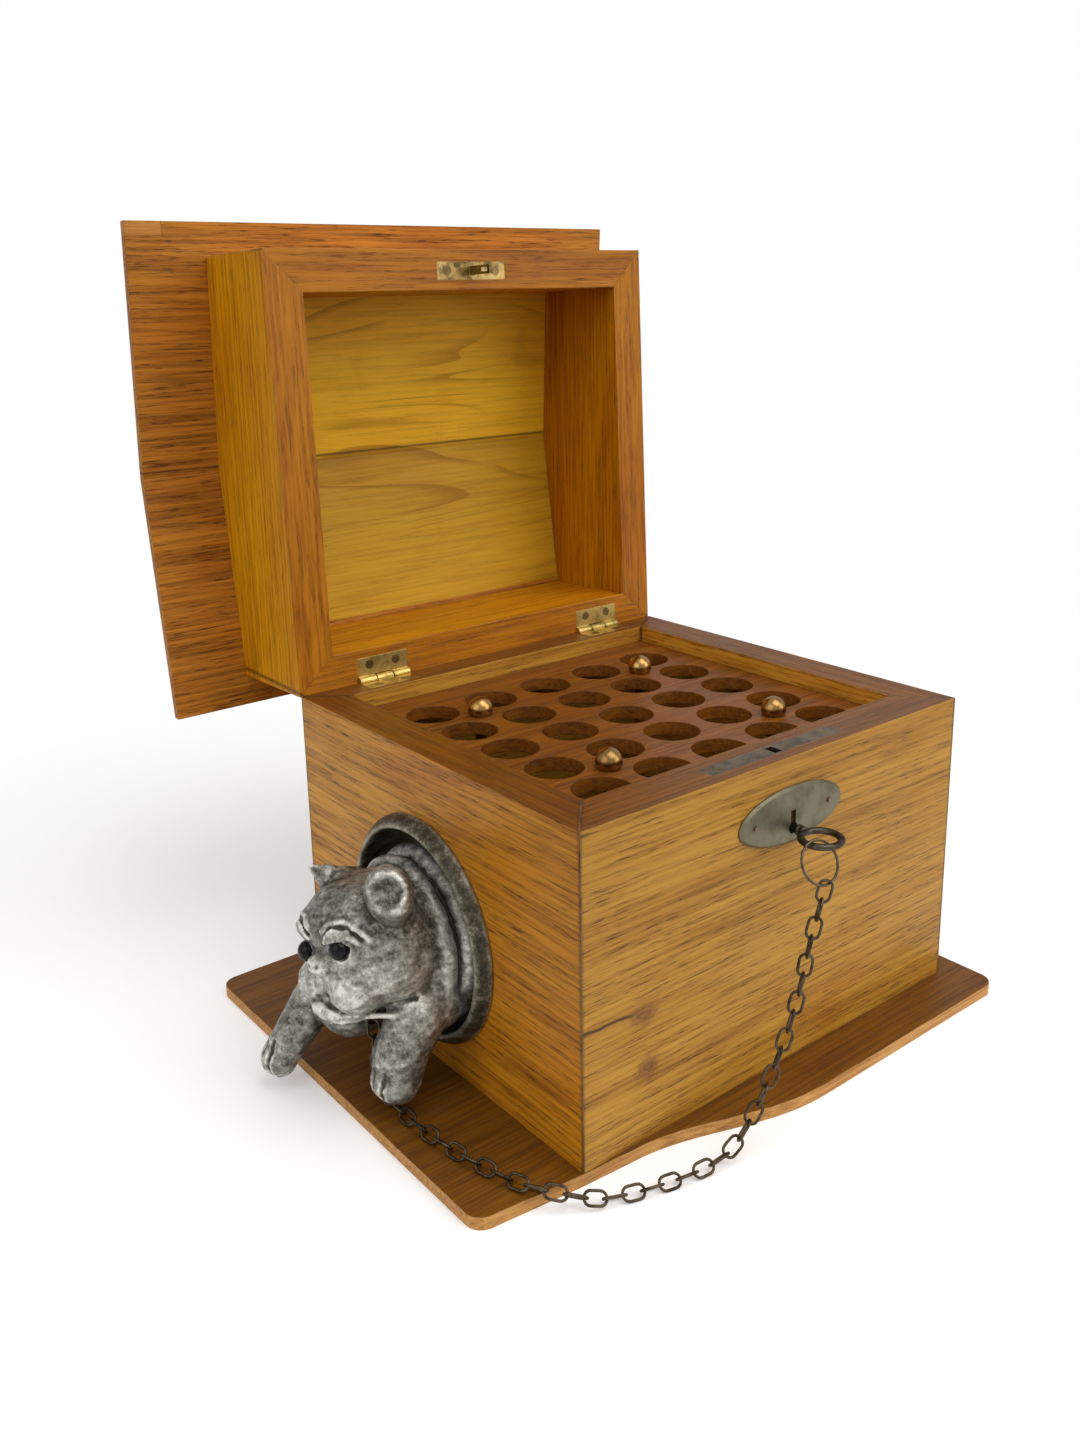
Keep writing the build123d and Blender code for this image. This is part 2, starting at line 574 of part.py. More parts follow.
def make_porthole():
    """The moulded ring with its sleeve through the panel, and the plate that closes it inside."""
    face = -HALF_WIDTH
    outer = PORTHOLE_RADIUS
    inner = PORTHOLE_RADIUS - PORTHOLE_BAND
    bore = SLEEVE_RADIUS - SLEEVE_WALL
    sleeve_end = SIDE_WALL - BACKPLATE_RECESS
    # Section in the X-Z plane at the top of the ring: a round moulding with a bead at its outer foot
    section = [
        Line((face, 0, outer), (face - 1.5, 0, outer)),
        ThreePointArc((face - 1.5, 0, outer), (face - PORTHOLE_PROUD, 0, (outer + inner) / 2 + 1),
                      (face - 2.0, 0, inner)),
        Line((face - 2.0, 0, inner), (face, 0, bore)),
        Line((face, 0, bore), (face + sleeve_end, 0, bore)),
        Line((face + sleeve_end, 0, bore), (face + sleeve_end, 0, SLEEVE_RADIUS)),
        Line((face + sleeve_end, 0, SLEEVE_RADIUS), (face, 0, SLEEVE_RADIUS)),
        Line((face, 0, SLEEVE_RADIUS), (face, 0, outer)),
    ]
    ring = revolve(make_face(Wire(section)), Axis.X, 360)
    place = Pos(0, PORTHOLE_Y, PORTHOLE_Z)
    plate = rod_x(BACKPLATE_RADIUS, BACKPLATE_THICKNESS,
                  (face + SIDE_WALL - BACKPLATE_RECESS + BACKPLATE_THICKNESS / 2, PORTHOLE_Y, PORTHOLE_Z))
    screws = backplate_screw_shapes()
    for screw in screws:
        plate -= screw
    return {"porthole_ring": one(place * ring), "dog_backplate": one(plate),
            "dog_backplate_screws": Compound(screws)}


def limb(points, radii):
    """A leg: straight round lengths between joints, with a ball at each joint."""
    leg = Pos(*points[0]) * Sphere(radii[0])
    for start, end, r0, r1 in zip(points, points[1:], radii, radii[1:]):
        a, b = Vector(*start), Vector(*end)
        middle = Plane(origin=(a + b) / 2, z_dir=b - a)
        leg += middle * Cone(r0, r1, (b - a).length)
        leg += Pos(*end) * Sphere(r1)
    return leg


def make_dog():
    """The bulldog's castings, drawn about the neck's axis: body, head with ears, forelegs, glass eyes."""
    def near(out, side, up):
        return (-out, side, up - NECK_RISE)

    back = SIDE_WALL - BACKPLATE_RECESS
    profile = Polyline((back, 0), (back, 26), (0, 30), (-3, 36), (-7, 33), (-11, 35), (-16, 31), (-22, 20),
                       (-24, 0), close=True)
    body = revolve(make_face(profile), Axis.X, 360)
    skull = [Line((-6, 0), (-6, 22)),
             Spline((-6, 22), (-22, 26.5), (-38, 21), (-52, 11), (-56, 0), tangents=[(-0.6, 0.8), (0, -1)]),
             Line((-56, 0), (-6, 0))]
    head = Pos(*near(0, -3, 61)) * revolve(make_face(Wire(skull)), Axis.X, 360) - body
    ears = [one(ball(near(24, side, up), 8.0) - body - head) for side, up in ((-21, 83), (15, 84))]
    jowls = ball(near(40, -12, 51), 11.5) + ball(near(40, 7, 50.5), 11.2) - head
    eyes = [ball(near(46, side, 65), EYE_RADIUS) for side in (-12.0, 7.0)]
    for eye in eyes:
        head -= eye
    castings = {"dog_body": body, "dog_head": head, "dog_ears": Compound(ears), "dog_jowls": jowls,
                "dog_eyes": Compound([one(eye) for eye in eyes])}
    for name, side, reach, shin_side in (("near", -20, 29, -21.5), ("far", 21, 55, 21.5)):
        joints = [near(8, side, 36), near(reach * 0.66, side, 34), near(reach, shin_side, PAW_RISE)]
        castings[f"dog_{name}_foreleg"] = one(limb(joints, [10.5, 9.0, 7.6]) - body - head - jowls)
    frame = Pos(*dog_place(0, 0, NECK_RISE))
    return {node: frame * casting for node, casting in castings.items()}


def make_collar(dog):
    """The staple under the dog's chin and the small ring that hangs in it."""
    hook = Vector(*dog_place(*COLLAR_HOOK))
    staple = Pos(*hook) * Rot(0, 90, 0) * Torus(COLLAR_STAPLE_RADIUS, COLLAR_WIRE)
    staple -= dog["dog_head"]
    staple -= dog["dog_jowls"]
    drop = Vector(0, 0, COLLAR_RING_DROP)
    ring = Pos(*(hook - drop)) * Rot(90, 0, 0) * Torus(COLLAR_RING_RADIUS, COLLAR_WIRE)
    return {"collar_staple": one(staple), "collar_ring": ring}


def rack_extent():
    return (-HALF_WIDTH + SIDE_WALL + RACK_CLEARANCE, HALF_WIDTH - SIDE_WALL - RACK_CLEARANCE,
            -HALF_DEPTH + FRONT_WALL + RACK_CLEARANCE, HALF_DEPTH - BACK_WALL - RACK_CLEARANCE)


def make_rack():
    """The perforated board on four posts over a plain board, with a brass knob on each post."""
    x0, x1, y0, y1 = rack_extent()
    mid_x = RACK_PATTERN_X
    mid_y = (y0 + y1) / 2 + RACK_PATTERN_Y
    top_z = RIM - RACK_RECESS
    top = block(x0, x1, y0, y1, top_z - RACK_BOARD, top_z)
    holes = [Pos(mid_x + (i - (RACK_COLUMNS - 1) / 2) * RACK_PITCH_X,
                 mid_y + (j - (RACK_ROWS - 1) / 2) * RACK_PITCH_Y, top_z) * Cylinder(RACK_HOLE_RADIUS, 3 * RACK_BOARD)
             for i in range(RACK_COLUMNS) for j in range(RACK_ROWS)]
    top -= holes
    bottom = block(x0, x1, y0, y1, BASE_THICKNESS, BASE_THICKNESS + RACK_BOARD)
    post_x = (RACK_COLUMNS - 2) / 2 * RACK_PITCH_X
    post_y = (RACK_ROWS - 2) / 2 * RACK_PITCH_Y
    post_low = BASE_THICKNESS + RACK_BOARD - POST_SOCKET
    post_high = top_z + KNOB_SEAT
    posts = []
    knobs = []
    for sx in (-1, 1):
        for sy in (-1, 1):
            x, y = mid_x + sx * post_x, mid_y + sy * post_y
            post = Pos(x, y, (post_low + post_high) / 2) * Cylinder(POST_RADIUS, post_high - post_low)
            knob = ball((x, y, top_z + KNOB_SEAT), KNOB_RADIUS)
            knob &= block(x - 9, x + 9, y - 9, y + 9, top_z, top_z + 20)
            knobs.append(one(knob - post))
            posts.append(post)
            top -= post
            bottom -= post
    return {"rack_top_board": one(top), "rack_bottom_board": one(bottom),
            "rack_posts": Compound([one(post) for post in posts]), "rack_knobs": Compound(knobs)}


def make_all():
    parts = make_box()
    parts["base_board"] = make_base()
    parts.update({name: opened(shape) for name, shape in make_lid().items()})
    parts.update(make_hinges())
    parts["link_plate"] = opened(make_link_plate())
    screws = [screw_down(x, LOCK_Y, RIM) for x in (-LINK_SCREW_SPACING / 2, LINK_SCREW_SPACING / 2)]
    parts["link_plate_screws"] = Compound([opened(mirrored_up(screw)) for screw in screws])
    parts.update(make_lock())
    parts.update(make_escutcheon())
    parts["key"] = make_key()
    parts["key_ring"] = make_key_ring()
    parts.update(make_porthole())
    dog = make_dog()
    parts.update(dog)
    parts.update(make_collar(dog))
    parts["guard_chain"] = make_chain()
    parts.update(make_rack())
    return parts


os.makedirs("parts", exist_ok=True)
for node, shape in make_all().items():
    export_step(shape, f"parts/{node}.step")
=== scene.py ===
"""A kennel-shaped cigar humidor with a cast bulldog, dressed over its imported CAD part."""

import logging
import math
from collections.abc import Callable
from dataclasses import dataclass, field, replace
from enum import Enum

import bmesh
import bpy
import numpy as np
from mathutils import Matrix, Vector


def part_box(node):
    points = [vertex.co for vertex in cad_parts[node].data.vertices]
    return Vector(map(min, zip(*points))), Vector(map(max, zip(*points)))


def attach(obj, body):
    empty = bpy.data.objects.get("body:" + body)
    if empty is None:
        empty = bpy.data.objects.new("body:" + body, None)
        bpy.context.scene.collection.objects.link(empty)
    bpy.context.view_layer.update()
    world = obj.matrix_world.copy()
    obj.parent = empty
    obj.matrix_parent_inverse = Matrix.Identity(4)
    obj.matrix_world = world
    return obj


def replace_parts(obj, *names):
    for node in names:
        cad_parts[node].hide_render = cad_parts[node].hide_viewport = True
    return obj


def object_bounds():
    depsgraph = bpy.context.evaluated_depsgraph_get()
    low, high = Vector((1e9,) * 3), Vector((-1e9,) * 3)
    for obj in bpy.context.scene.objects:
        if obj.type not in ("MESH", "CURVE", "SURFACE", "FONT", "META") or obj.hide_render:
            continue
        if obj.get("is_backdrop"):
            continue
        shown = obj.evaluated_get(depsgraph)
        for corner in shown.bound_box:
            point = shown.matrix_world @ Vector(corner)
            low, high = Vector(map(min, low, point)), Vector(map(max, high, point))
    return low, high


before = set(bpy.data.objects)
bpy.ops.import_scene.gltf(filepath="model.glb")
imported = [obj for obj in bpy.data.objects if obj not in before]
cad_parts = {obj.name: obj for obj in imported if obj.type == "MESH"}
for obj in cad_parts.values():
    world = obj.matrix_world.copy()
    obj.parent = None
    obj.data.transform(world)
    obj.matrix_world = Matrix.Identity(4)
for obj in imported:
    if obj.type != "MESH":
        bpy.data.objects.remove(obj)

LOG = logging.getLogger("humidor")
MM = 0.001
TOWARDS_FRONT = (0, -1, 0)
Point = tuple[float, float, float]
Colour = tuple[int, int, int]
Array = np.ndarray
Socket = bpy.types.NodeSocket
Value = Socket | float | tuple[float, ...]
Distance = Callable[[Array], Array]


class Grain(Enum):
    """The axis that a board's grain runs along."""

    X = 0
    Y = 1
    Z = 2


def linear(colour: Colour) -> tuple[float, float, float, float]:
    """Turns a colour as it looks, 0 to 255 in each channel, into the shader's linear values."""
    share = np.array(colour, float) / 255
    value = np.where(share <= 0.04045, share / 12.92, ((share + 0.055) / 1.055) ** 2.4)
    return (*value.tolist(), 1.0)


class Graph:
    """A material's node tree, with short calls that add nodes and join them."""

    def __init__(self, name: str) -> None:
        """Starts a material with an empty tree."""
        self.material = bpy.data.materials.new(name)
        self.material.use_nodes = True
        self.tree = self.material.node_tree
        self.tree.nodes.clear()

    def add(self, kind: str, **settings: object) -> bpy.types.Node:
        """Adds a node and sets its properties."""
        node = self.tree.nodes.new(kind)
        for key, value in settings.items():
            setattr(node, key, value)
        return node

    def put(self, value: Value, socket: Socket) -> None:
        """Joins an output to a socket, or sets the socket's own value."""
        if isinstance(value, Socket):
            self.tree.links.new(value, socket)
        else:
            socket.default_value = value

    def scaled(self, scale: Point, centre: Point = (0, 0, 0)) -> Socket:
        """Object coordinates in metres, moved so that centre is the origin and multiplied by scale."""
        mapping = self.add("ShaderNodeMapping")
        mapping.inputs["Location"].default_value = [-c * s for c, s in zip(centre, scale)]
        mapping.inputs["Scale"].default_value = scale
        self.put(self.add("ShaderNodeTexCoord").outputs["Object"], mapping.inputs["Vector"])
        return mapping.outputs["Vector"]

    def noise(self, vector: Value, scale: float = 1.0, detail: float = 2.0, roughness: float = 0.5,
              distortion: float = 0.0) -> Socket:
        """Fractal noise from 0 to 1."""
        node = self.add("ShaderNodeTexNoise")
        self.put(vector, node.inputs["Vector"])
        for key, value in (("Scale", scale), ("Detail", detail), ("Roughness", roughness),
                           ("Distortion", distortion)):
            node.inputs[key].default_value = value
        return node.outputs["Fac"]

    def clouds(self, scale: float, centre: Point = (0, 0, 0), **settings: float) -> Socket:
        """Even noise in the object's own space, with about scale blotches to the metre."""
        return self.noise(self.scaled((scale,) * 3, centre), **settings)

    def ramp(self, value: Value, stops: tuple[tuple[float, Colour], ...]) -> Socket:
        """A colour ramp through (place, colour) stops."""
        node = self.add("ShaderNodeValToRGB")
        self.put(value, node.inputs["Fac"])
        elements = node.color_ramp.elements
        while len(elements) < len(stops):
            elements.new(0.5)
        for element, (place, colour) in zip(elements, stops):
            element.position = place
            element.color = linear(colour)
        return node.outputs["Color"]

    def step(self, value: Value, low: float, high: float) -> Socket:
        """Smooth 0 to 1 as value goes from low to high, which may run downwards."""
        node = self.add("ShaderNodeMapRange", interpolation_type="SMOOTHSTEP")
        self.put(value, node.inputs["Value"])
        node.inputs["From Min"].default_value = min(low, high)
        node.inputs["From Max"].default_value = max(low, high)
        node.inputs["To Min"].default_value = 0.0 if low < high else 1.0
        node.inputs["To Max"].default_value = 1.0 if low < high else 0.0
        return node.outputs["Result"]

    def math(self, operation: str, first: Value, second: Value = 0.0) -> Socket:
        """One step of arithmetic."""
        node = self.add("ShaderNodeMath", operation=operation)
        self.put(first, node.inputs[0])
        self.put(second, node.inputs[1])
        return node.outputs["Value"]

    def times(self, first: Value, second: Value) -> Socket:
        """The product of two values."""
        return self.math("MULTIPLY", first, second)

    def plus(self, first: Value, second: Value) -> Socket:
        """The sum of two values."""
        return self.math("ADD", first, second)

    def minus(self, first: Value, second: Value) -> Socket:
        """The first value less the second."""
        return self.math("SUBTRACT", first, second)

    def mix(self, share: Value, first: Value, second: Value,
            blend: str = "MIX") -> Socket:
        """Mixes two colours."""
        node = self.add("ShaderNodeMix", data_type="RGBA", blend_type=blend)
        self.put(share, node.inputs["Factor"])
        self.put(first, node.inputs[6])
        self.put(second, node.inputs[7])
        return node.outputs[2]

    def laid(self, colour: Value, share: Value, strength: float, over: Value) -> Socket:
        """The colour with another laid over it, as much as share times strength."""
        return self.mix(self.times(share, strength), colour, over)

    def tinted(self, colour: Value, tint: Colour) -> Socket:
        """The colour multiplied by a tint."""
        return self.mix(1.0, colour, linear(tint), "MULTIPLY")

    def axis(self, vector: Value, index: int) -> Socket:
        """One component of a vector."""
        node = self.add("ShaderNodeSeparateXYZ")
        self.put(vector, node.inputs[0])
        return node.outputs[index]

    def length(self, vector: Value) -> Socket:
        """A vector's length."""
        node = self.add("ShaderNodeVectorMath", operation="LENGTH")
        self.put(vector, node.inputs[0])
        return node.outputs["Value"]

    def dot(self, vector: Value, direction: Value) -> Socket:
        """The vector's length along a direction."""
        node = self.add("ShaderNodeVectorMath", operation="DOT_PRODUCT")
        self.put(vector, node.inputs[0])
        self.put(direction, node.inputs[1])
        return node.outputs["Value"]

    def normal(self) -> Socket:
        """The surface's normal in the object's own space."""
        return self.add("ShaderNodeTexCoord").outputs["Normal"]

    def bevel(self, radius: float) -> Socket:
        """The normal with the piece's edges rounded over by a radius in metres."""
        node = self.add("ShaderNodeBevel", samples=6)
        node.inputs["Radius"].default_value = radius
        return node.outputs["Normal"]

    def edge(self, radius: float, low: float, high: float) -> Socket:
        """1 along the piece's edges, within a radius in metres, and 0 on its faces."""
        flat = self.add("ShaderNodeNewGeometry").outputs["True Normal"]
        return self.step(self.dot(self.bevel(radius), flat), high, low)

    def bump(self, height: Value, distance: float, strength: float = 1.0,
             normal: Value | None = None) -> Socket:
        """A bumped normal from a height of 0 to 1, that many metres deep."""
        node = self.add("ShaderNodeBump")
        node.inputs["Distance"].default_value = distance
        node.inputs["Strength"].default_value = strength
        self.put(height, node.inputs["Height"])
        if normal is not None:
            self.put(normal, node.inputs["Normal"])
        return node.outputs["Normal"]

    def surface(self, colour: Value, roughness: Value, normal: Value,
                **fixed: float) -> bpy.types.Material:
        """Closes the tree with a Principled shader, whose other sockets have the fixed values."""
        shader = self.add("ShaderNodeBsdfPrincipled")
        self.put(colour, shader.inputs["Base Color"])
        self.put(roughness, shader.inputs["Roughness"])
        self.put(normal, shader.inputs["Normal"])
        for key, value in fixed.items():
            shader.inputs[key.replace("_", " ")].default_value = value
        self.put(shader.outputs["BSDF"], self.add("ShaderNodeOutputMaterial").inputs["Surface"])
        return self.material


@dataclass(frozen=True)
class Tone:
    """A board's colours: its body, its paler early wood, its darker late wood."""

    pale: Colour
    body: Colour
    dark: Colour


HONEY = Tone((194, 145, 54), (176, 124, 38), (138, 88, 20))
OAK_DOG_FACE = Tone((216, 156, 56), (190, 128, 34), (134, 80, 14))
RIM_BROWN = Tone((130, 80, 18), (110, 64, 10), (82, 45, 6))
RACK_BROWN = Tone((136, 79, 18), (116, 65, 12), (82, 42, 8))
LID_RED = Tone((190, 120, 12), (170, 100, 8), (128, 70, 4))
LID_GOLD = Tone((226, 160, 8), (206, 136, 4), (156, 94, 2))
ROOF_RED = Tone((206, 134, 40), (172, 106, 26), (112, 62, 12))
ROOF_YELLOW = Tone((252, 200, 44), (236, 176, 30), (176, 116, 16))
BASE_BROWN = Tone((126, 80, 12), (108, 65, 8), (80, 46, 6))
BASE_EDGE = Tone((209, 159, 88), (186, 132, 67), (147, 97, 47))
SPLICE_PALE = Tone((206, 145, 67), (190, 125, 51), (156, 95, 36))
JOINT_DARK = (52, 32, 18)
CRACK_DARK = (48, 26, 14)
PORE_DARK = (74, 42, 14)
WORN_PALE = (206, 150, 78)
GRIME_DARK = (84, 50, 18)
KNOT_RINGS = ((0.0, (78, 44, 22)), (0.5, (132, 82, 38)), (1.0, (98, 58, 28)))
RICH_TINT = (236, 218, 120)
PATCH_TINT = (232, 190, 130)
SHADE_TINT = (198, 194, 205)
# Painted shade: the tint for the faces inside the open lid.
INNER_SHADE_TINT = (232, 222, 200)


@dataclass(frozen=True)
class Seam:
    """A dark joint line: the plane through a point with a normal, that many metres wide."""

    point: Point
    normal: Point
    width: float = 0.0007

    def draw(self, graph: Graph, colour: Value, place: Value, wobble: Value) -> Socket:
        """Darkens the colour by the distance from the plane, which wobbles a little."""
        length = math.hypot(*self.normal)
        normal = tuple(n / length for n in self.normal)
        offset = sum(n * p for n, p in zip(normal, self.point))
        far = graph.math("ABSOLUTE", graph.minus(graph.dot(place, normal), offset))
        dark = graph.step(graph.plus(far, graph.times(wobble, 0.3)), 2.2 * self.width, 0.2 * self.width)
        return graph.laid(colour, dark, 0.8, linear(JOINT_DARK))


@dataclass(frozen=True)
class Knot:
    """A knot: its centre, and its reach along each axis in metres."""

    centre: Point
    reach: Point

    def draw(self, graph: Graph, colour: Value) -> Socket:
        """Lays the knot's rings over the colour, less with the distance from its centre."""
        centred = graph.scaled(tuple(1 / r for r in self.reach), self.centre)
        far = graph.plus(graph.length(centred), graph.times(graph.noise(centred, 1.7), 0.9))
        rings = graph.ramp(graph.math("FRACT", graph.times(far, 3.0)), KNOT_RINGS)
        return graph.laid(colour, graph.step(far, 1.5, 0.6), 0.75, rings)


@dataclass(frozen=True)
class Crack:
    """A drying crack along X from a board's left edge: its height there, its fall and its end."""

    height: float
    fall: float
    end: float
    start: float = -0.105
    width: float = 0.0006
    tip: float = 0.006

    def draw(self, graph: Graph, colour: Value, place: Value, wobble: Value) -> Socket:
        """Darkens the colour along the crack, which fades out over its tip."""
        x, z = graph.axis(place, 0), graph.axis(place, 2)
        line = graph.minus(self.height, graph.times(graph.minus(x, self.start), self.fall))
        far = graph.math("ABSOLUTE", graph.minus(graph.minus(z, line), wobble))
        dark = graph.times(graph.step(far, 1.6 * self.width, 0.3 * self.width),
                           graph.step(x, self.end, self.end - self.tip))
        return graph.laid(colour, dark, 0.85, linear(CRACK_DARK))


@dataclass(frozen=True)
class Window:
    """A roof board's face inside the lid: its half width, its lower and upper edge in metres, and its tone.

    Below the heights in shade, where the board slopes the other way, it is duller.
    """

    half_width: float
    low: float
    high: float
    tone: Tone
    shade: tuple[float, float] = (0.234, 0.228)
    border: float = 0.0005

    def share(self, graph: Graph, place: Value) -> Socket:
        """1 on the face that looks out of the open lid, within the window, and 0 elsewhere."""
        x, z = graph.math("ABSOLUTE", graph.axis(place, 0)), graph.axis(place, 2)
        height = graph.times(graph.step(z, self.low, self.low + self.border),
                             graph.step(z, self.high, self.high - self.border))
        inside = graph.times(graph.step(x, self.half_width, self.half_width - self.border), height)
        return graph.times(inside, graph.step(graph.dot(graph.normal(), TOWARDS_FRONT), 0.3, 0.6))


@dataclass(frozen=True)
class Fade:
    """A change along a direction: none where the length along it is low, and full where it is high."""

    direction: Point
    low: float
    high: float


@dataclass(frozen=True)
class Patterns:
    """The noise patterns that a board's colours share: broad figure, fine streaks and patches."""

    figure: Socket
    streak: Socket
    patch: Socket


@dataclass(frozen=True)
class WoodFinish:
    """A varnished board: streaky grain, open pores, joint lines, knots and rubbed edges.

    face_tone is for the side that looks along face, and edge_tone for the upright sides. The colour gets
    richer along rich, and darker with painted shade on the faces that look towards the point shade_core,
    inside the lid.
    """

    name: str
    grain: Grain
    tone: Tone
    face_tone: Tone | None = None
    face: Point = (0, 0, 1)
    edge_tone: Tone | None = None
    window: Window | None = None
    rich: Fade | None = None
    shade_core: Point | None = None
    seams: tuple[Seam, ...] = ()
    knots: tuple[Knot, ...] = ()
    crack: Crack | None = None
    pores: float = 0.5
    figure: float = 0.5
    wear: float = 0.35
    roughness: float = 0.42
    seed: float = 0.0

    @property
    def start(self) -> Point:
        """Where the board's patterns start, so that no two finishes share them."""
        return (self.seed, self.seed * 0.7, self.seed * 0.4)

    def stretched(self, graph: Graph, along: float, across: float, **settings: float) -> Socket:
        """Noise drawn out along the grain, about along metres long and across metres wide."""
        scale = [1 / across] * 3
        scale[self.grain.value] = 1 / along
        return graph.noise(graph.scaled(tuple(scale), self.start), **settings)

    def grained(self, graph: Graph, tone: Tone, grain: Patterns) -> Socket:
        """The board's colour in one tone, from its broad figure and its fine streaks."""
        broad = graph.ramp(grain.figure, ((0.24, tone.dark), (0.44, tone.body), (0.7, tone.pale)))
        fine = graph.ramp(grain.streak, ((0.38, tone.dark), (0.51, tone.body), (0.64, tone.pale)))
        return graph.mix(0.55, broad, fine)

    def toned(self, graph: Graph, grain: Patterns) -> Socket:
        """The board's colour, with its face and its upright sides in tones of their own."""
        colour = self.grained(graph, self.tone, grain)
        if self.face_tone:
            share = graph.step(graph.dot(graph.normal(), self.face), 0.45, 0.75)
            colour = graph.mix(share, colour, self.grained(graph, self.face_tone, grain))
        if self.edge_tone:
            share = graph.step(graph.math("ABSOLUTE", graph.axis(graph.normal(), 2)), 0.75, 0.45)
            colour = graph.mix(share, colour, self.grained(graph, self.edge_tone, grain))
        return colour

    def varnished(self, graph: Graph, place: Value, grain: Patterns) -> Socket:
        """The window's colour: calm pale varnish with wavy dark bands, duller in its shade."""
        tone = self.window.tone
        calm = self.stretched(graph, 0.3, 0.035, detail=1.0, distortion=0.6)
        bands = graph.step(graph.math("FRACT", graph.times(calm, 9.0)), 0.72, 0.97)
        inner = graph.mix(0.5, self.grained(graph, tone, grain), linear(tone.pale))
        bands = graph.times(bands, graph.step(grain.patch, 0.42, 0.6))
        inner = graph.laid(inner, bands, 0.6, linear(tone.dark))
        lower = graph.step(graph.axis(place, 2), *self.window.shade)
        return graph.laid(inner, lower, 0.8, graph.tinted(inner, SHADE_TINT))

    def shaded_inside(self, graph: Graph, colour: Value, place: Value) -> Socket:
        """Paints shade on the faces that look towards shade_core: their colour is made duller by the shade
        tint.
        """
        inward = graph.add("ShaderNodeVectorMath", operation="SUBTRACT")
        graph.put(self.shade_core, inward.inputs[0])
        graph.put(place, inward.inputs[1])
        facing = graph.dot(inward.outputs["Vector"], graph.normal())
        return graph.mix(graph.step(facing, 0.02, 0.04), colour, graph.tinted(colour, INNER_SHADE_TINT))

    def deepened(self, graph: Graph, colour: Value, place: Value) -> Socket:
        """Makes the colour richer towards one side of the board, with an uneven border."""
        cloud = graph.times(graph.clouds(22, detail=3.0), 0.05)
        length = graph.plus(graph.dot(place, self.rich.direction), cloud)
        share = graph.step(length, self.rich.low, self.rich.high)
        return graph.laid(colour, share, 0.9, graph.tinted(colour, RICH_TINT))

    def marked(self, graph: Graph, colour: Value, place: Value) -> Socket:
        """Adds joint lines, knots and a crack to the colour."""
        wobble = graph.times(graph.clouds(90, detail=3.0), 0.0016)
        for seam in self.seams:
            colour = seam.draw(graph, colour, place, wobble)
        for knot in self.knots:
            colour = knot.draw(graph, colour)
        if self.crack:
            colour = self.crack.draw(graph, colour, place, wobble)
        return colour

    def aged(self, graph: Graph, colour: Value) -> Socket:
        """Rubs the board's edges pale in places, and adds blotches of grime."""
        rub = graph.times(graph.edge(0.0012, 0.8, 0.97), graph.step(graph.clouds(60, detail=4.0), 0.4, 0.62))
        colour = graph.laid(colour, rub, self.wear, linear(WORN_PALE))
        grime = graph.step(graph.clouds(26, self.start, detail=5.0, roughness=0.65), 0.56, 0.78)
        return graph.laid(colour, grime, 0.22, linear(GRIME_DARK))

    def dress(self) -> bpy.types.Material:
        """Builds the material: the tones first, then pores, marks and age."""
        graph = Graph(self.name)
        place = graph.scaled((1, 1, 1))
        grain = Patterns(self.stretched(graph, 0.16, 0.013, detail=3.0, distortion=1.2),
                         self.stretched(graph, 0.05, 0.0016, detail=4.0, roughness=0.6, distortion=0.35),
                         self.stretched(graph, 0.09, 0.05, detail=2.0))
        pore = self.stretched(graph, 0.008, 0.00045, detail=1.0)
        pores = graph.times(graph.step(pore, 0.57, 0.68), graph.step(grain.streak, 0.62, 0.4))
        colour = self.toned(graph, grain)
        if self.window:
            share = self.window.share(graph, place)
            colour = graph.mix(share, colour, self.varnished(graph, place, grain))
            pores = graph.times(pores, graph.minus(1.0, graph.times(share, 0.8)))
        # Painted shade on the faces that look towards shade_core, inside the lid.
        if self.shade_core:
            colour = self.shaded_inside(graph, colour, place)
        if self.rich:
            colour = self.deepened(graph, colour, place)
        patch = graph.step(grain.patch, 0.55, 0.75)
        colour = graph.laid(colour, patch, 0.7 * self.figure, graph.tinted(colour, PATCH_TINT))
        colour = graph.laid(colour, pores, self.pores, linear(PORE_DARK))
        colour = self.aged(graph, self.marked(graph, colour, place))
        sheen = graph.plus(graph.times(graph.clouds(40, detail=3.0), 0.22), self.roughness - 0.11)
        lines = graph.bump(grain.streak, 0.00012, 0.7, graph.bevel(0.0007))
        pits = graph.bump(graph.minus(1.0, pores), 0.00018, 0.8, lines)
        return graph.surface(colour, sheen, pits, Specular_IOR_Level=0.24)


@dataclass(frozen=True)
class MetalFinish:
    """A metal fitting: its colour, the tarnish in its blotches and specks, and its fine scratches."""

    name: str
    colour: Colour
    tarnish: Colour
    blotch: float = 120.0
    cover: float = 0.4
    roughness: float = 0.32
    metallic: float = 1.0
    scratch: float = 0.00004
    edge: float = 0.3
    brightening: float = 1.35

    def dress(self) -> bpy.types.Material:
        """Builds the material."""
        graph = Graph(self.name)
        tarnish = linear(self.tarnish)
        blotch = graph.clouds(self.blotch, detail=5.0, roughness=0.65)
        colour = graph.laid(linear(self.colour), graph.step(blotch, 0.42, 0.66), self.cover, tarnish)
        speck = graph.step(graph.clouds(1300, detail=2.0), 0.62, 0.72)
        colour = graph.laid(colour, speck, 0.5 * self.cover, tarnish)
        bright = linear(tuple(min(255, int(c * self.brightening)) for c in self.colour))
        colour = graph.laid(colour, graph.edge(0.0004, 0.75, 0.96), self.edge, bright)
        rough = graph.plus(graph.times(blotch, 0.3), self.roughness - 0.12)
        scratches = graph.noise(graph.scaled((2600, 400, 2600)), detail=3.0)
        normal = graph.bump(scratches, self.scratch, 0.8, graph.bevel(0.00025))
        return graph.surface(colour, rough, normal, Metallic=self.metallic)


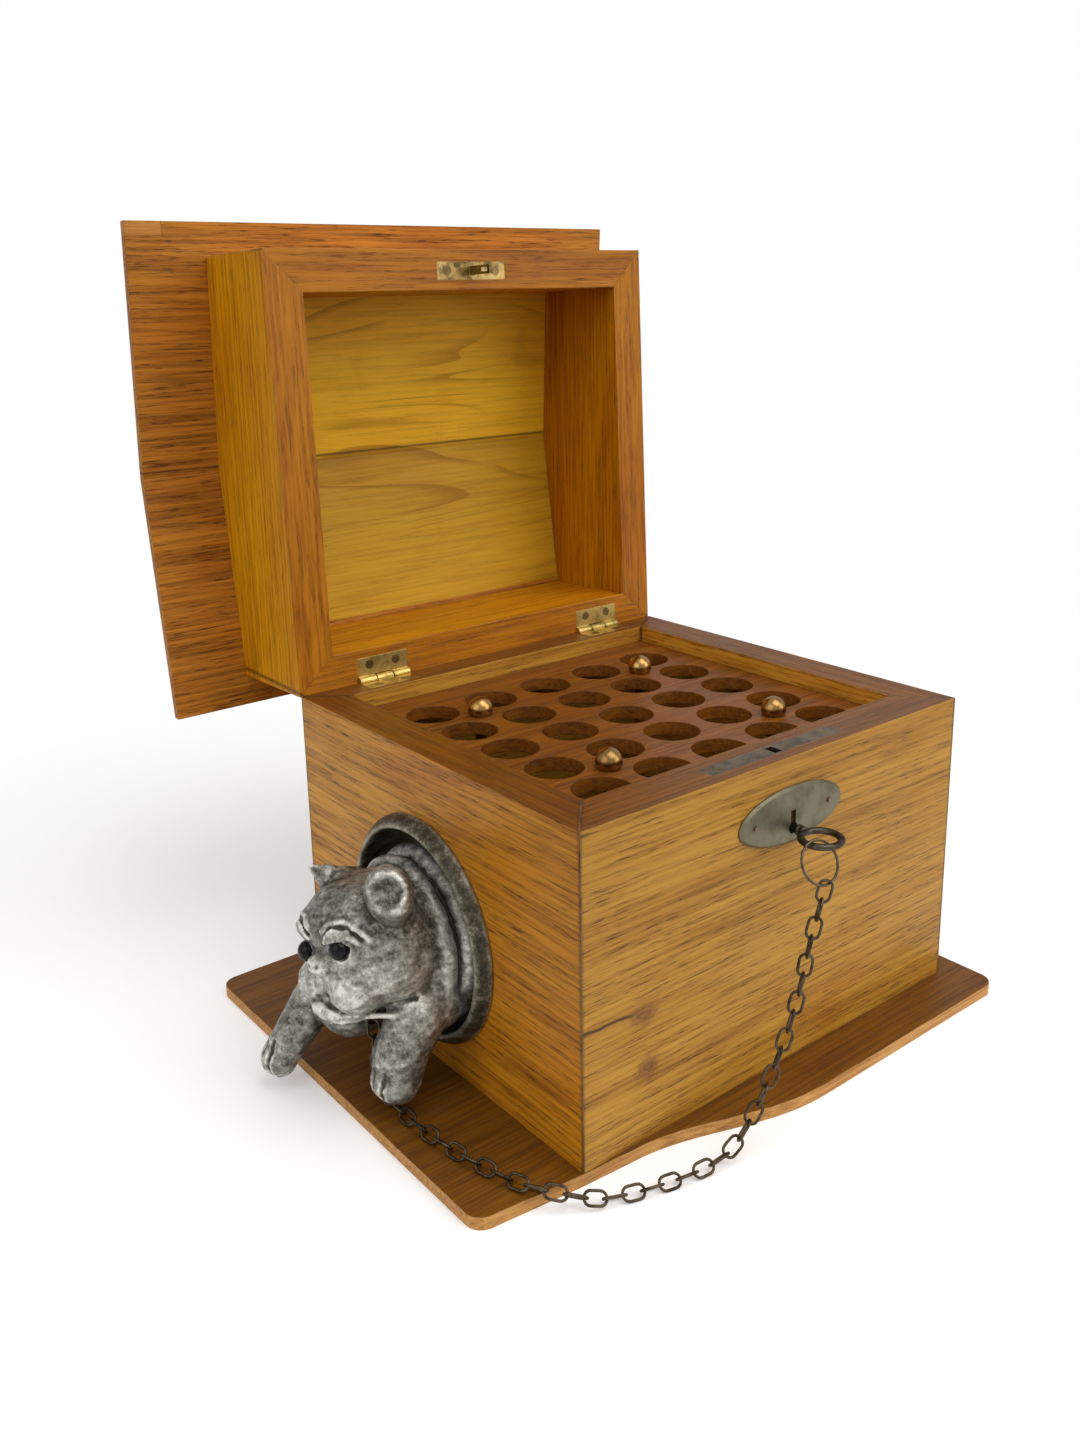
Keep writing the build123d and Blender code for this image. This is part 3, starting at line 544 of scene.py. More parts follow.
@dataclass(frozen=True)
class CastFinish:
    """Old cast pewter: grey with brown in its hollows, bright where it is rubbed, and grainy all over.

    It is brighter in a band of heights just below bright_band_top.
    """

    name: str
    hollow: Colour = (66, 62, 52)
    body: Colour = (126, 124, 115)
    raised: Colour = (160, 158, 149)
    rubbed: Colour = (226, 224, 215)
    bright_band_top: float = 0.080
    roughness: float = 0.44

    def dress(self) -> bpy.types.Material:
        """Builds the material; pointiness finds the ridges and hollows of the casting."""
        graph = Graph(self.name)
        point = graph.add("ShaderNodeNewGeometry").outputs["Pointiness"]
        cloud = graph.clouds(190, detail=6.0, roughness=0.72)
        grain = graph.clouds(1000, detail=5.0, roughness=0.75)
        brush = graph.noise(graph.scaled((1500, 300, 900)), detail=4.0, roughness=0.7)
        relief = graph.times(graph.minus(point, 0.5), 4.2)
        height = graph.plus(relief, graph.plus(graph.times(cloud, 0.7), graph.times(grain, 0.43)))
        up, top = graph.axis(graph.scaled((1, 1, 1)), 2), self.bright_band_top
        # A band of heights below bright_band_top gets a brighter colour.
        bright_band = graph.times(graph.step(up, top, top - 0.022), graph.step(up, top - 0.046, top - 0.030))
        height = graph.plus(height, graph.minus(graph.times(bright_band, 0.11), 0.045))
        colour = graph.ramp(height, ((0.42, self.hollow), (0.54, self.body), (0.63, self.raised),
                                     (0.78, self.rubbed)))
        flecks = graph.times(graph.step(brush, 0.6, 0.75), graph.step(cloud, 0.44, 0.6))
        colour = graph.laid(colour, flecks, 0.7, linear(self.rubbed))
        rough = graph.plus(graph.times(grain, 0.25), self.roughness - 0.1)
        normal = graph.bump(grain, 0.00022, 0.7, graph.bump(cloud, 0.0005, 0.5))
        return graph.surface(colour, rough, normal, Metallic=0.72)


@dataclass(frozen=True)
class GlassFinish:
    """A black glass eye with a faint blue-brown depth."""

    name: str
    depth: tuple[tuple[float, Colour], ...] = ((0.3, (3, 3, 6)), (0.7, (12, 12, 20)))

    def dress(self) -> bpy.types.Material:
        """Builds the material."""
        graph = Graph(self.name)
        swirl = graph.clouds(300, detail=3.0)
        rough = graph.plus(graph.times(swirl, 0.05), 0.04)
        normal = graph.bump(swirl, 0.00002, 0.3)
        return graph.surface(graph.ramp(swirl, self.depth), rough, normal, Specular_IOR_Level=0.2)


def mesh_piece(name: str, points: Array, faces: Array,
               material: bpy.types.Material) -> bpy.types.Object:
    """Makes a smooth-shaded mesh object in the row frame.

    Args:
        name: the piece's name.
        points: its points in metres, one a row.
        faces: its quads' point numbers, one a row.
        material: its material.

    Returns:
        The object, linked and unmoved.
    """
    mesh = bpy.data.meshes.new(name)
    mesh.from_pydata(points.tolist(), [], faces.tolist())
    mesh.polygons.foreach_set("use_smooth", np.ones(len(mesh.polygons), bool))
    mesh.materials.append(material)
    mesh.validate()
    mesh.update()
    piece = bpy.data.objects.new(name, mesh)
    bpy.context.scene.collection.objects.link(piece)
    return piece


def grid_faces(rows: int, columns: int, closed_rows: bool, closed_columns: bool) -> Array:
    """Quads of a grid numbered row by row; closed sides wrap round."""
    i = np.arange(rows if closed_rows else rows - 1)[:, None]
    j = np.arange(columns if closed_columns else columns - 1)[None, :]
    i2, j2 = (i + 1) % rows, (j + 1) % columns
    quads = [i * columns + j, i * columns + j2, i2 * columns + j2, i2 * columns + j]
    return np.stack(np.broadcast_arrays(*quads), -1).reshape(-1, 4)


def ring_tube(path: Array, normal: Array, radii: tuple[float, float], sides: int) -> Array:
    """Points of a closed tube along a closed flat path.

    Each ring is an ellipse with one radius across the path in its plane and one along the plane's normal.

    Args:
        path: the centreline's points, one a row.
        normal: the normal of the plane that the path lies in.
        radii: the section's radius in the plane and along the normal.
        sides: points round the section.

    Returns:
        Points as a (path, sides, 3) array.
    """
    along = np.roll(path, -1, 0) - np.roll(path, 1, 0)
    along /= np.linalg.norm(along, axis=1, keepdims=True)
    across = np.cross(along, normal)
    turn = np.linspace(0, 2 * np.pi, sides, endpoint=False)
    return (path[:, None] + across[:, None] * (radii[0] * np.cos(turn))[None, :, None]
            + normal[None, None] * (radii[1] * np.sin(turn))[None, :, None])


def lathe(profile: Array, start: Array, axis: Array, side: Array,
          steps: int) -> Array:
    """Points of a profile turned about an axis.

    Args:
        profile: (distance along, radius) pairs.
        start: the point on the axis where the distance is 0.
        axis: the axis, as a unit vector.
        side: a unit vector across it, where the turn starts.
        steps: points round the axis.

    Returns:
        Points as a (profile, steps, 3) array.
    """
    turn = np.linspace(0, 2 * np.pi, steps, endpoint=False)
    other = np.cross(axis, side)
    circle = np.cos(turn)[:, None] * side + np.sin(turn)[:, None] * other
    return start + profile[:, None, :1] * axis + profile[:, None, 1:] * circle[None]


def smooth_min(first: Array, second: Array, reach: float) -> Array:
    """The smaller of two distances, rounded where they are within reach of each other."""
    share = np.clip(0.5 + 0.5 * (second - first) / reach, 0, 1)
    return second + (first - second) * share - reach * share * (1 - share)


def smooth_max(first: Array, second: Array, reach: float) -> Array:
    """The larger of two distances, rounded where they are within reach of each other."""
    return -smooth_min(-first, -second, reach)


def ellipsoid(points: Array, centre: Point, radii: Point) -> Array:
    """Near distance to an ellipsoid: size times size less one, over the slope, where size is 1 on it."""
    scaled = (points - centre) / np.array(radii)
    size = np.linalg.norm(scaled, axis=-1)
    slope = np.linalg.norm(scaled / np.array(radii), axis=-1)
    return size * (size - 1) / np.maximum(slope, 1e-9)


def strand(points: Array, route: Array, radii: Array) -> Array:
    """Distance to a chain of tapered round bars through the route's points."""
    best = np.full(points.shape[:-1], 1e3)
    for start, end, r0, r1 in zip(route, route[1:], radii, radii[1:]):
        run = end - start
        share = np.clip((points - start) @ run / (run @ run), 0, 1)
        far = np.linalg.norm(points - start - share[..., None] * run, axis=-1)
        best = np.minimum(best, far - (r0 + (r1 - r0) * share))
    return best


def roll(points: Array, out: float, up: float, radius: float, thickness: float) -> Array:
    """Distance to a ring about the neck's axis, which is level and runs out of the box."""
    away = np.hypot(points[..., 1], points[..., 2] - up) - radius
    return np.hypot(away, points[..., 0] - out) - thickness


def surface_net(field: Array) -> tuple[Array, Array]:
    """The zero surface of a field on a grid.

    Each cell that the surface crosses gets one point, at the mean of the crossings on its edges, and each
    grid edge that the surface crosses gets one quad, turned to face the positive side.

    Args:
        field: distances on the grid, negative inside.

    Returns:
        Points in grid steps, and quads.
    """
    inside = field < 0
    cells = tuple(n - 1 for n in field.shape)
    total = np.zeros((*cells, 3))
    count = np.zeros(cells)
    crossings = []
    for axis in range(3):
        low = [slice(None)] * 3
        high = [slice(None)] * 3
        low[axis], high[axis] = slice(None, -1), slice(1, None)
        a, b = field[tuple(low)], field[tuple(high)]
        crossed = inside[tuple(low)] != inside[tuple(high)]
        share = np.where(crossed, a / np.where(crossed, a - b, 1), 0)
        place = np.stack(np.indices(crossed.shape), -1).astype(float)
        place[..., axis] += share
        one, two = [(axis + 1) % 3, (axis + 2) % 3]
        for d1 in (0, 1):
            for d2 in (0, 1):
                part = [slice(None)] * 3
                part[one] = slice(d1, d1 + cells[one])
                part[two] = slice(d2, d2 + cells[two])
                used = crossed[tuple(part)]
                total += place[tuple(part)] * used[..., None]
                count += used
        crossings.append((axis, one, two, crossed, inside[tuple(low)]))
    active = count > 0
    number = np.full(cells, -1)
    number[active] = np.arange(active.sum())
    points = total[active] / count[active][:, None]
    quads = []
    for axis, one, two, crossed, starts_inside in crossings:
        at = np.argwhere(crossed)
        at = at[(at[:, one] > 0) & (at[:, two] > 0) & (at[:, one] < cells[one]) & (at[:, two] < cells[two])]
        flip = ~starts_inside[tuple(at.T)]
        corners = []
        for d1, d2 in ((1, 1), (0, 1), (0, 0), (1, 0)):
            cell = at.copy()
            cell[:, one] -= d1
            cell[:, two] -= d2
            corners.append(number[tuple(cell.T)])
        quad = np.stack(corners, -1)
        quad[flip] = quad[flip][:, ::-1]
        quads.append(quad)
    return points, np.concatenate(quads)


# The dog's numbers are millimetres in its own coordinates: out from the box's face, along Y from the
# porthole's middle, and up from the base. The head's are drawn on a level head that faces straight out.


@dataclass(frozen=True)
class Form:
    """An ellipsoid of the dog: its centre and radii, and the reach of its blend into the rest."""

    centre: Point
    radii: Point
    blend: float

    def distance(self, points: Array, side: int = 1) -> Array:
        """Near distance to the form, or with side -1 to its mirror image across the dog's middle."""
        return ellipsoid(points, np.array(self.centre) * (1, side, 1), self.radii)


@dataclass(frozen=True)
class Bar:
    """A tapered round bar of the dog: the points of its route, and its radius at each."""

    route: tuple[Point, ...]
    radii: tuple[float, ...]

    def distance(self, points: Array) -> Array:
        """Distance to the bar."""
        return strand(points, np.array(self.route, float), np.array(self.radii))


@dataclass(frozen=True)
class Stroke:
    """A ridge or furrow of the dog: the points of its route before it settles, and its radius."""

    route: tuple[Point, ...]
    radius: float


@dataclass(frozen=True)
class NeckRoll:
    """A ring of skin about the neck: how far out it lies, its radius and its thickness."""

    out: float
    radius: float
    thickness: float


BODY_FORMS = {
    "chest": Form((8, 0, 42), (17, 22, 18), 5),
    "neck_front": Form((12, 0, 55), (13, 29.5, 30), 2),
    "dewlap": Form((27, 10, 28.5), (15.5, 13.5, 12.5), 4),
}
HEAD_FORMS = {
    "forehead": Form((34, 0, 72), (14.5, 18.5, 13.5), 5),
    "muzzle": Form((38, 0, 54.5), (13, 17, 11), 5),
    "throat": Form((27, 0, 47), (14, 15, 11), 5),
}
HEAD_SIDE_FORMS = {
    "cheek": Form((25, 16, 55), (17, 12, 14.5), 5),
    "jowl": Form((40.5, 9.5, 49.5), (12, 10.5, 10), 2.5),
    "brow": Form((42, 8.8, 71.8), (8.0, 7.5, 5.2), 4),
}
FACE_FORMS = {
    "chin": Form((40, 1, 41.5), (13, 14, 6.5), 2),
    "nose": Form((50, 0, 60), (3.6, 5.4, 3.8), 2),
}
NECK_ROLLS = (NeckRoll(-1, 30.5, 4.6), NeckRoll(8.5, 29.5, 3.6))
LEGS = (
    (Bar(((2, -22.3, 38), (18, -22.8, 37), (28.5, -24.4, 23)), (10.0, 11.4, 10.6)),
     {"near_paw": Form((31.6, -25.2, 13.2), (9.0, 10.6, 7.2), 4)}),
    (Bar(((8, 20.5, 36), (36, 21.5, 33), (50.5, 23.5, 14.5)), (10.4, 9.2, 7.8)),
     {"far_paw": Form((54.8, 25, 7.5), (7.0, 8.0, 7.0), 4)}),
)
NEAR_EAR_FLAP = Form((28.5, -22.5, 88.5), (8.5, 10.8, 10.8), 3)
NEAR_EAR_ROOT = Bar(((23, -16, 74), (26, -20.5, 83)), (9.0, 7.5))
NEAR_EAR_CUP = Form((37, -30.5, 94.5), (9.3, 8.6, 8.6), 1.8)
FAR_EAR_HORN = Bar(((27, 12, 78), (33, 15.5, 83), (38.5, 18, 87.5)), (8.5, 4.8, 1.5))
FAR_EAR_CUP = Form((42, 13, 89), (7, 5, 8), 1.5)
EYELIDS = (
    Stroke(((47.5, -5.8, 70.6), (47, -9.6, 73.2), (45, -13.6, 71.6), (43, -16.2, 68.8)), 0.65),
    Stroke(((48, -4.4, 73.2), (47, -7.6, 76.2), (44.5, -11.6, 75.8), (41.5, -15.8, 72.4),
            (39, -18.4, 69)), 0.7),
)
BROW_FURROWS = (Stroke(((47.5, -5.4, 71.2), (46.8, -9, 74), (44.2, -13.2, 73.6), (41.5, -16.8, 70)), 0.5),)
LOWER_LIP = (Stroke(((50.5, -4, 42.2), (46.5, -15, 40.6), (39.5, -21, 39), (30.5, -24, 40)), 1.2),)
MOUTH_AND_TOES = (
    Stroke(((51.2, -4, 46.2), (47.5, -15, 44.3), (40.5, -22, 42.5), (31, -26, 43.5), (22, -28, 45.5)), 0.8),
    Stroke(((38, -28.4, 20), (40, -28.4, 13), (37, -28.6, 7.5)), 0.7),
    Stroke(((38, -22.6, 20), (40, -22.6, 13), (37, -22.6, 7.5)), 0.7),
    Stroke(((57, 22.6, 17), (61, 22.6, 8), (58, 22.6, 2)), 0.8),
    Stroke(((57, 27.4, 17), (61, 27.6, 8), (58, 27.6, 2)), 0.8),
)
NOSTRILS = ((53.8, -2.2, 60.4), (53.8, 2.2, 60.4))
NOSTRIL_RADII = (1.2, 1.0, 0.9)
LUMP_WAVES = (9.0, 6.0, 4.2, 3.0, 2.2, 1.7)


def blended(near: Array, points: Array, forms: dict[str, Form], side: int = 1) -> Array:
    """Runs forms into a field of distances, one after another.

    Args:
        near: the distances so far.
        points: the points that they belong to.
        forms: the forms by name.
        side: 1 for the forms as they are listed, -1 for their mirror images across the dog's middle.

    Returns:
        The distances with the forms in them.
    """
    for form in forms.values():
        near = smooth_min(near, form.distance(points, side), form.blend)
    return near


@dataclass
class Bulldog:
    """The cast bulldog coming out of the porthole, shaped as rounded forms run together and carved."""

    face_x: float = -105.0
    porthole_y: float = 2.5
    base_z: float = 5.0
    back: float = -15.4
    neck_up: float = 55.0
    head_at: Point = (21.0, -0.5, 60.0)
    head_yaw: float = 9.0
    head_roll: float = 10.0
    pitch: float = 0.8
    low: Point = (-16.5, -41.0, 0.0)
    high: Point = (62.6, 41.0, 102.0)
    eye_radius: float = 4.2
    eye_gap: float = 0.1
    eyes: tuple[Point, ...] = ((47.0, -10.3, 66.7), (46.6, 10.6, 62.4))
    roughness: float = 0.06
    finish: CastFinish = field(default_factory=lambda: CastFinish("bulldog_pewter"))
    glass: GlassFinish = field(default_factory=lambda: GlassFinish("black_glass"))

    def place(self, points: Array) -> Array:
        """Takes points from the dog's own coordinates in millimetres to the row frame in metres."""
        out, side, up = np.moveaxis(points, -1, 0)
        return np.stack([self.face_x - out, self.porthole_y + side, self.base_z + up], -1) * MM

    def head_turn(self) -> Array:
        """The head's turn: rolled so that its far side drops, then turned a little towards the lock face."""
        roll_angle, yaw = math.radians(self.head_roll), math.radians(self.head_yaw)
        rolled = np.array([[1, 0, 0], [0, math.cos(roll_angle), math.sin(roll_angle)],
                           [0, -math.sin(roll_angle), math.cos(roll_angle)]])
        turned = np.array([[math.cos(yaw), math.sin(yaw), 0], [-math.sin(yaw), math.cos(yaw), 0], [0, 0, 1]])
        return turned @ rolled

    def from_head(self, points: Array) -> Array:
        """Takes points drawn on a level head that faces straight out to the dog's own coordinates."""
        level = np.array([self.head_at[0], 0.0, self.head_at[2]])
        return np.array(self.head_at) + (points - level) @ self.head_turn().T

    def to_head(self, points: Array) -> Array:
        """The opposite of from_head."""
        level = np.array([self.head_at[0], 0.0, self.head_at[2]])
        return level + (points - np.array(self.head_at)) @ self.head_turn()

    def body(self, points: Array) -> Array:
        """Distance to the neck with its rolls, and the chest."""
        near = ellipsoid(points, (2, 0, 55), (19, 30, 30))
        for fold in NECK_ROLLS:
            near = smooth_min(near, roll(points, fold.out, self.neck_up, fold.radius, fold.thickness), 1.2)
        return blended(near, points, BODY_FORMS)

    def head(self, points: Array) -> Array:
        """Distance to the head without its ears: the skull, which isn't turned, and the forms that are."""
        near = ellipsoid(points, (21, -3, 61.5), (27, 26.5, 25.5))
        level = self.to_head(points)
        near = blended(near, level, HEAD_FORMS)
        for side in (-1, 1):
            near = blended(near, level, HEAD_SIDE_FORMS, side)
        return blended(near, level, FACE_FORMS)

    def near_ear(self, points: Array) -> Array:
        """Distance to the near ear, a round flap on a root, with a cup scooped out of it."""
        flap, cup = NEAR_EAR_FLAP, NEAR_EAR_CUP
        near = smooth_min(flap.distance(points), NEAR_EAR_ROOT.distance(points), flap.blend)
        return smooth_max(near, -cup.distance(points), cup.blend)

    def far_ear(self, points: Array) -> Array:
        """Distance to the far ear, a bent horn with a cup scooped out of it."""
        cup = FAR_EAR_CUP
        return smooth_max(FAR_EAR_HORN.distance(points), -cup.distance(points), cup.blend)

    def forms(self, points: Array) -> Array:
        """Distance to the big forms: body, head, legs and ears, run together."""
        whole = smooth_min(self.body(points), self.head(points), 1.5)
        for leg, paw in LEGS:
            whole = smooth_min(whole, blended(leg.distance(points), points, paw), 3)
        return smooth_min(smooth_min(whole, self.near_ear(points), 2.5), self.far_ear(points), 3)

    def settle(self, points: Array, distance: Distance, rounds: int = 4) -> Array:
        """Moves points onto a surface.

        Each round goes back along the slope by the distance over the slope, up to a limit.

        Args:
            points: the points, one a row.
            distance: the surface as a function that is zero on it.
            rounds: how often the points move.

        Returns:
            The moved points.
        """
        step, flattest, limit = 0.15, 0.05, 1.5
        offsets = np.eye(3) * step
        for _ in range(rounds):
            value = distance(points)
            slope = np.stack([distance(points + d) - distance(points - d) for d in offsets], -1) / (2 * step)
            size = np.maximum((slope ** 2).sum(-1, keepdims=True), flattest)
            points = points - np.clip(value[..., None] * slope / size, -limit, limit)
        return points

    def settled(self, strokes: tuple[Stroke, ...], on_head: bool) -> list[tuple[Array, Array]]:
        """Lays strokes on the big forms.

        Args:
            strokes: the ridges or furrows.
            on_head: whether they are drawn on the level head, which has them on both of its sides.

        Returns:
            Each line's points, and its radius at each point.
        """
        lines = []
        for stroke in strokes:
            drawn = np.array(stroke.route, float)
            sides = [self.from_head(drawn * (1, side, 1)) for side in (1, -1)] if on_head else [drawn]
            lines += [(self.settle(line, self.forms), np.full(len(line), stroke.radius)) for line in sides]
        return lines

    def lumps(self, points: Array) -> Array:
        """The casting's uneven skin: many sine waves of random direction, summed."""
        draw = np.random.default_rng(11)
        total = np.zeros(points.shape[:-1])
        for wave in LUMP_WAVES:
            for _ in range(5):
                direction = draw.normal(size=3)
                direction *= 2 * np.pi / wave / np.linalg.norm(direction)
                total += np.sin(points @ direction + draw.uniform(0, 2 * np.pi)) * wave / LUMP_WAVES[0]
        return total * self.roughness

    def distance(self) -> Distance:
        """The whole carved shape as a function of points in the dog's coordinates."""
        raised = self.settled(EYELIDS, True) + self.settled(LOWER_LIP, False)
        cut = self.settled(BROW_FURROWS, True) + self.settled(MOUTH_AND_TOES, False)
        nostrils = self.from_head(np.array(NOSTRILS))
        eyes = self.from_head(np.array(self.eyes))
        eye_radii = (self.eye_radius + self.eye_gap,) * 3

        def shape(points: Array) -> Array:
            """Distance to the dog: forms, then ridges, furrows, nostrils, eye sockets and the flat back."""
            whole = self.forms(points)
            for line, radii in raised:
                whole = smooth_min(whole, strand(points, line, radii), 1.6)
            for line, radii in cut:
                whole = smooth_max(whole, -strand(points, line, radii), 1.0)
            for nostril in nostrils:
                whole = smooth_max(whole, -ellipsoid(points, nostril, NOSTRIL_RADII), 0.6)
            for eye in eyes:
                whole = smooth_max(whole, -ellipsoid(points, eye, eye_radii), 0.4)
            return np.maximum(whole + self.lumps(points), self.back - points[..., 0])

        return shape

    def build_casting(self) -> bpy.types.Object:
        """Builds the casting as one closed skin."""
        axes = [np.arange(a, b + self.pitch, self.pitch) for a, b in zip(self.low, self.high)]
        grid = np.stack(np.meshgrid(*axes, indexing="ij"), -1)
        distance = self.distance()
        points, quads = surface_net(np.stack([distance(layer) for layer in grid]))
        points = np.array(self.low) + points * self.pitch
        points = self.settle(points, distance, rounds=2)
        piece = mesh_piece("bulldog_casting", self.place(points), quads[:, ::-1], self.finish.dress())
        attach(piece, "box")
        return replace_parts(piece, "dog_body", "dog_head", "dog_ears", "dog_jowls", "dog_near_foreleg",
                           "dog_far_foreleg")

    def build_eyes(self) -> bpy.types.Object:
        """Builds both glass eyes as spheres, each point at its latitude and longitude."""
        rows, columns = 25, 32
        tilt = np.linspace(0, np.pi, rows)[:, None]
        turn = np.linspace(0, 2 * np.pi, columns, endpoint=False)[None, :]
        unit = np.stack(np.broadcast_arrays(np.cos(tilt), np.sin(tilt) * np.cos(turn),
                                            np.sin(tilt) * np.sin(turn)), -1)
        points, faces = [], []
        for index, eye in enumerate(self.from_head(np.array(self.eyes))):
            points.append(self.place(eye + unit * self.eye_radius).reshape(-1, 3))
            faces.append(grid_faces(rows, columns, False, True) + index * rows * columns)
        piece = mesh_piece("glass_eyes", np.concatenate(points), np.concatenate(faces), self.glass.dress())
        close_up(piece)
        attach(piece, "box")
        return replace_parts(piece, "dog_eyes")

    def build(self) -> list[bpy.types.Object]:
        """Builds the dog's pieces."""
        return [self.build_casting(), self.build_eyes()]


@dataclass
class PortholeRing:
    """The ring round the dog: a narrow raised band whose lip turns into the sleeve through the panel."""

    centre: Point = (-105.0, 2.5, 61.0)
    steps: int = 160
    finish: CastFinish = field(default_factory=lambda: CastFinish(
        "porthole_pewter", (32, 28, 20), (64, 58, 44), (88, 82, 66), (160, 154, 136), bright_band_top=0.0))

    def build(self) -> list[bpy.types.Object]:
        """Builds the ring: its section of (distance out, radius) pairs turned about the porthole's axis."""
        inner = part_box("porthole_ring")[1][0] / MM - self.centre[0]
        section = np.array([(0, 43), (0, 46.6), (0.4, 47), (1.4, 46.9), (2.6, 46.2), (4.2, 45.0),
                            (5.4, 44.0), (5.95, 43.1), (5.9, 42.3), (5.2, 41.7), (3.5, 41.3), (0, 41.1),
                            (-inner, 40.7), (-inner, 42.9), (-2, 43)])
        points = lathe(section, np.array(self.centre), np.array([-1.0, 0, 0]), np.array([0, 1.0, 0]),
                       self.steps)
        faces = grid_faces(len(section), self.steps, True, True)
        piece = mesh_piece("porthole_band", points.reshape(-1, 3) * MM, faces, self.finish.dress())
        close_up(piece)
        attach(piece, "box")
        return [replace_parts(piece, "porthole_ring")]


def close_up(piece: bpy.types.Object) -> None:
    """Merges a mesh's doubled points and turns its faces outwards."""
    mesh = bmesh.new()
    mesh.from_mesh(piece.data)
    bmesh.ops.remove_doubles(mesh, verts=mesh.verts, dist=1e-6)
    bmesh.ops.recalc_face_normals(mesh, faces=mesh.faces)
    mesh.to_mesh(piece.data)
    mesh.free()


@dataclass
class GuardChain:
    """The guard chain of round-wire links, from the key's ring to the small ring at the dog's chin."""

    left: float = -105.0
    front: float = -95.0
    base: float = 5.0
    on_table: float = 2.5
    on_base: float = 7.5
    ring_end: Point = (-7.9, -119.8, 95.15)
    chin: Point = (-135.0, -5.5, 34.95)
    link_length: float = 9.5
    link_width: float = 6.0
    wire: float = 1.1
    play: float = 0.2
    sides: int = 8
    bend_steps: int = 9
    lean: float = 45.0
    finish: MetalFinish = field(default_factory=lambda: MetalFinish(
        "chain_iron", (96, 84, 68), (44, 34, 26), blotch=260.0, cover=0.8, roughness=0.42))

    def route(self) -> Array:
        """The control points of the chain's line, in millimetres."""
        left, front, base = self.left, self.front, self.base
        return np.array([
            self.ring_end,
            (left + 90, front - 24, base + 71),
            (left + 84, front - 25, base + 52),
            (left + 77, front - 25, base + 36),
            (left + 69, front - 25, base + 22),
            (left + 60, front - 25, base + 10),
            (left + 49, front - 24.5, self.on_table + 1.5),
            (left + 36, front - 23, self.on_table),
            (left + 22, front - 20, self.on_table),
            (left + 9, front - 16, self.on_table),
            (left - 3, front - 11.5, self.on_table + 0.5),
            (left - 13, front - 5, self.on_table + 4.3),
            (left - 20, front + 2, self.on_base + 0.8),
            (left - 23, front + 11, self.on_base),
            (left - 26, front + 22, self.on_base),
            (left - 29, front + 34, self.on_base),
            (left - 31, front + 47, self.on_base),
            (left - 32, front + 60, self.on_base),
            (left - 32, front + 72, self.on_base),
            (self.chin[0] - 1, self.chin[1] - 7, self.on_base + 1),
            (self.chin[0], self.chin[1], base + 13),
            self.chin,
        ])

    def centreline(self) -> Array:
        """Points along the chain's smooth line in metres, read from its NURBS curve."""
        curve = bpy.data.curves.new("chain_line", "CURVE")
        curve.dimensions = "3D"
        curve.resolution_u = 24
        spline = curve.splines.new("NURBS")
        route = self.route() * MM
        spline.points.add(len(route) - 1)
        spline.points.foreach_set("co", np.column_stack([route, np.ones(len(route))]).ravel())
        spline.order_u = 3
        spline.use_endpoint_u = True
        line = bpy.data.objects.new("chain_line", curve)
        bpy.context.scene.collection.objects.link(line)
        mesh = bpy.data.meshes.new_from_object(line)
        points = np.zeros(len(mesh.vertices) * 3)
        mesh.vertices.foreach_get("co", points)
        bpy.data.meshes.remove(mesh)
        bpy.data.objects.remove(line)
        bpy.data.curves.remove(curve)
        return points.reshape(-1, 3)

    def stations(self, line: Array) -> tuple[Array, Array]:
        """Evenly spaced points along the line, one more than there are links, and its running length."""
        run = np.concatenate([[0], np.cumsum(np.linalg.norm(np.diff(line, axis=0), axis=1))])
        pitch = (self.link_length - 2 * self.wire - self.play) * MM
        count = math.ceil(run[-1] / pitch)
        at = np.linspace(0, run[-1], count + 1)
        return np.stack([np.interp(at, run, line[:, k]) for k in range(3)], -1), run

    def link(self) -> Array:
        """The centreline of a link in metres: two half circles joined by straight sides, flat in XY."""
        bend = (self.link_width - self.wire) / 2
        straight = (self.link_length - self.link_width) / 2
        turn = np.linspace(-np.pi / 2, np.pi / 2, self.bend_steps)
        end = np.stack([straight + bend * np.cos(turn), bend * np.sin(turn), np.zeros(self.bend_steps)], -1)
        return np.concatenate([end, end * (-1, -1, 1)]) * MM

    def build(self) -> list[bpy.types.Object]:
        """Builds the links along the line, each a quarter turn from the one before."""
        line = self.centreline()
        stations, run = self.stations(line)
        centre = (stations[:-1] + stations[1:]) / 2
        along = np.diff(stations, axis=0)
        along /= np.linalg.norm(along, axis=1, keepdims=True)
        flat = self.link()
        side = np.array([0.0, 1.0, 0.0])
        points, faces = [], []
        quads = grid_faces(len(flat), self.sides, True, True)
        for index, (middle, forward) in enumerate(zip(centre, along)):
            side = side - forward * (side @ forward)
            side /= np.linalg.norm(side)
            other = np.cross(forward, side)
            angle = math.radians(self.lean if index % 2 else -self.lean)
            across = math.cos(angle) * side + math.sin(angle) * other
            normal = np.cross(forward, across)
            path = middle + flat[:, :1] * forward + flat[:, 1:2] * across
            tube = ring_tube(path, normal, (self.wire / 2 * MM,) * 2, self.sides)
            points.append(tube.reshape(-1, 3))
            faces.append(quads + index * len(flat) * self.sides)
        piece = mesh_piece("guard_chain_links", np.concatenate(points), np.concatenate(faces),
                           self.finish.dress())
        close_up(piece)
        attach(piece, "box")
        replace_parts(piece, "guard_chain")
        LOG.info("chain of %d links, %.0f mm long", len(centre), run[-1] / MM)
        return [piece]


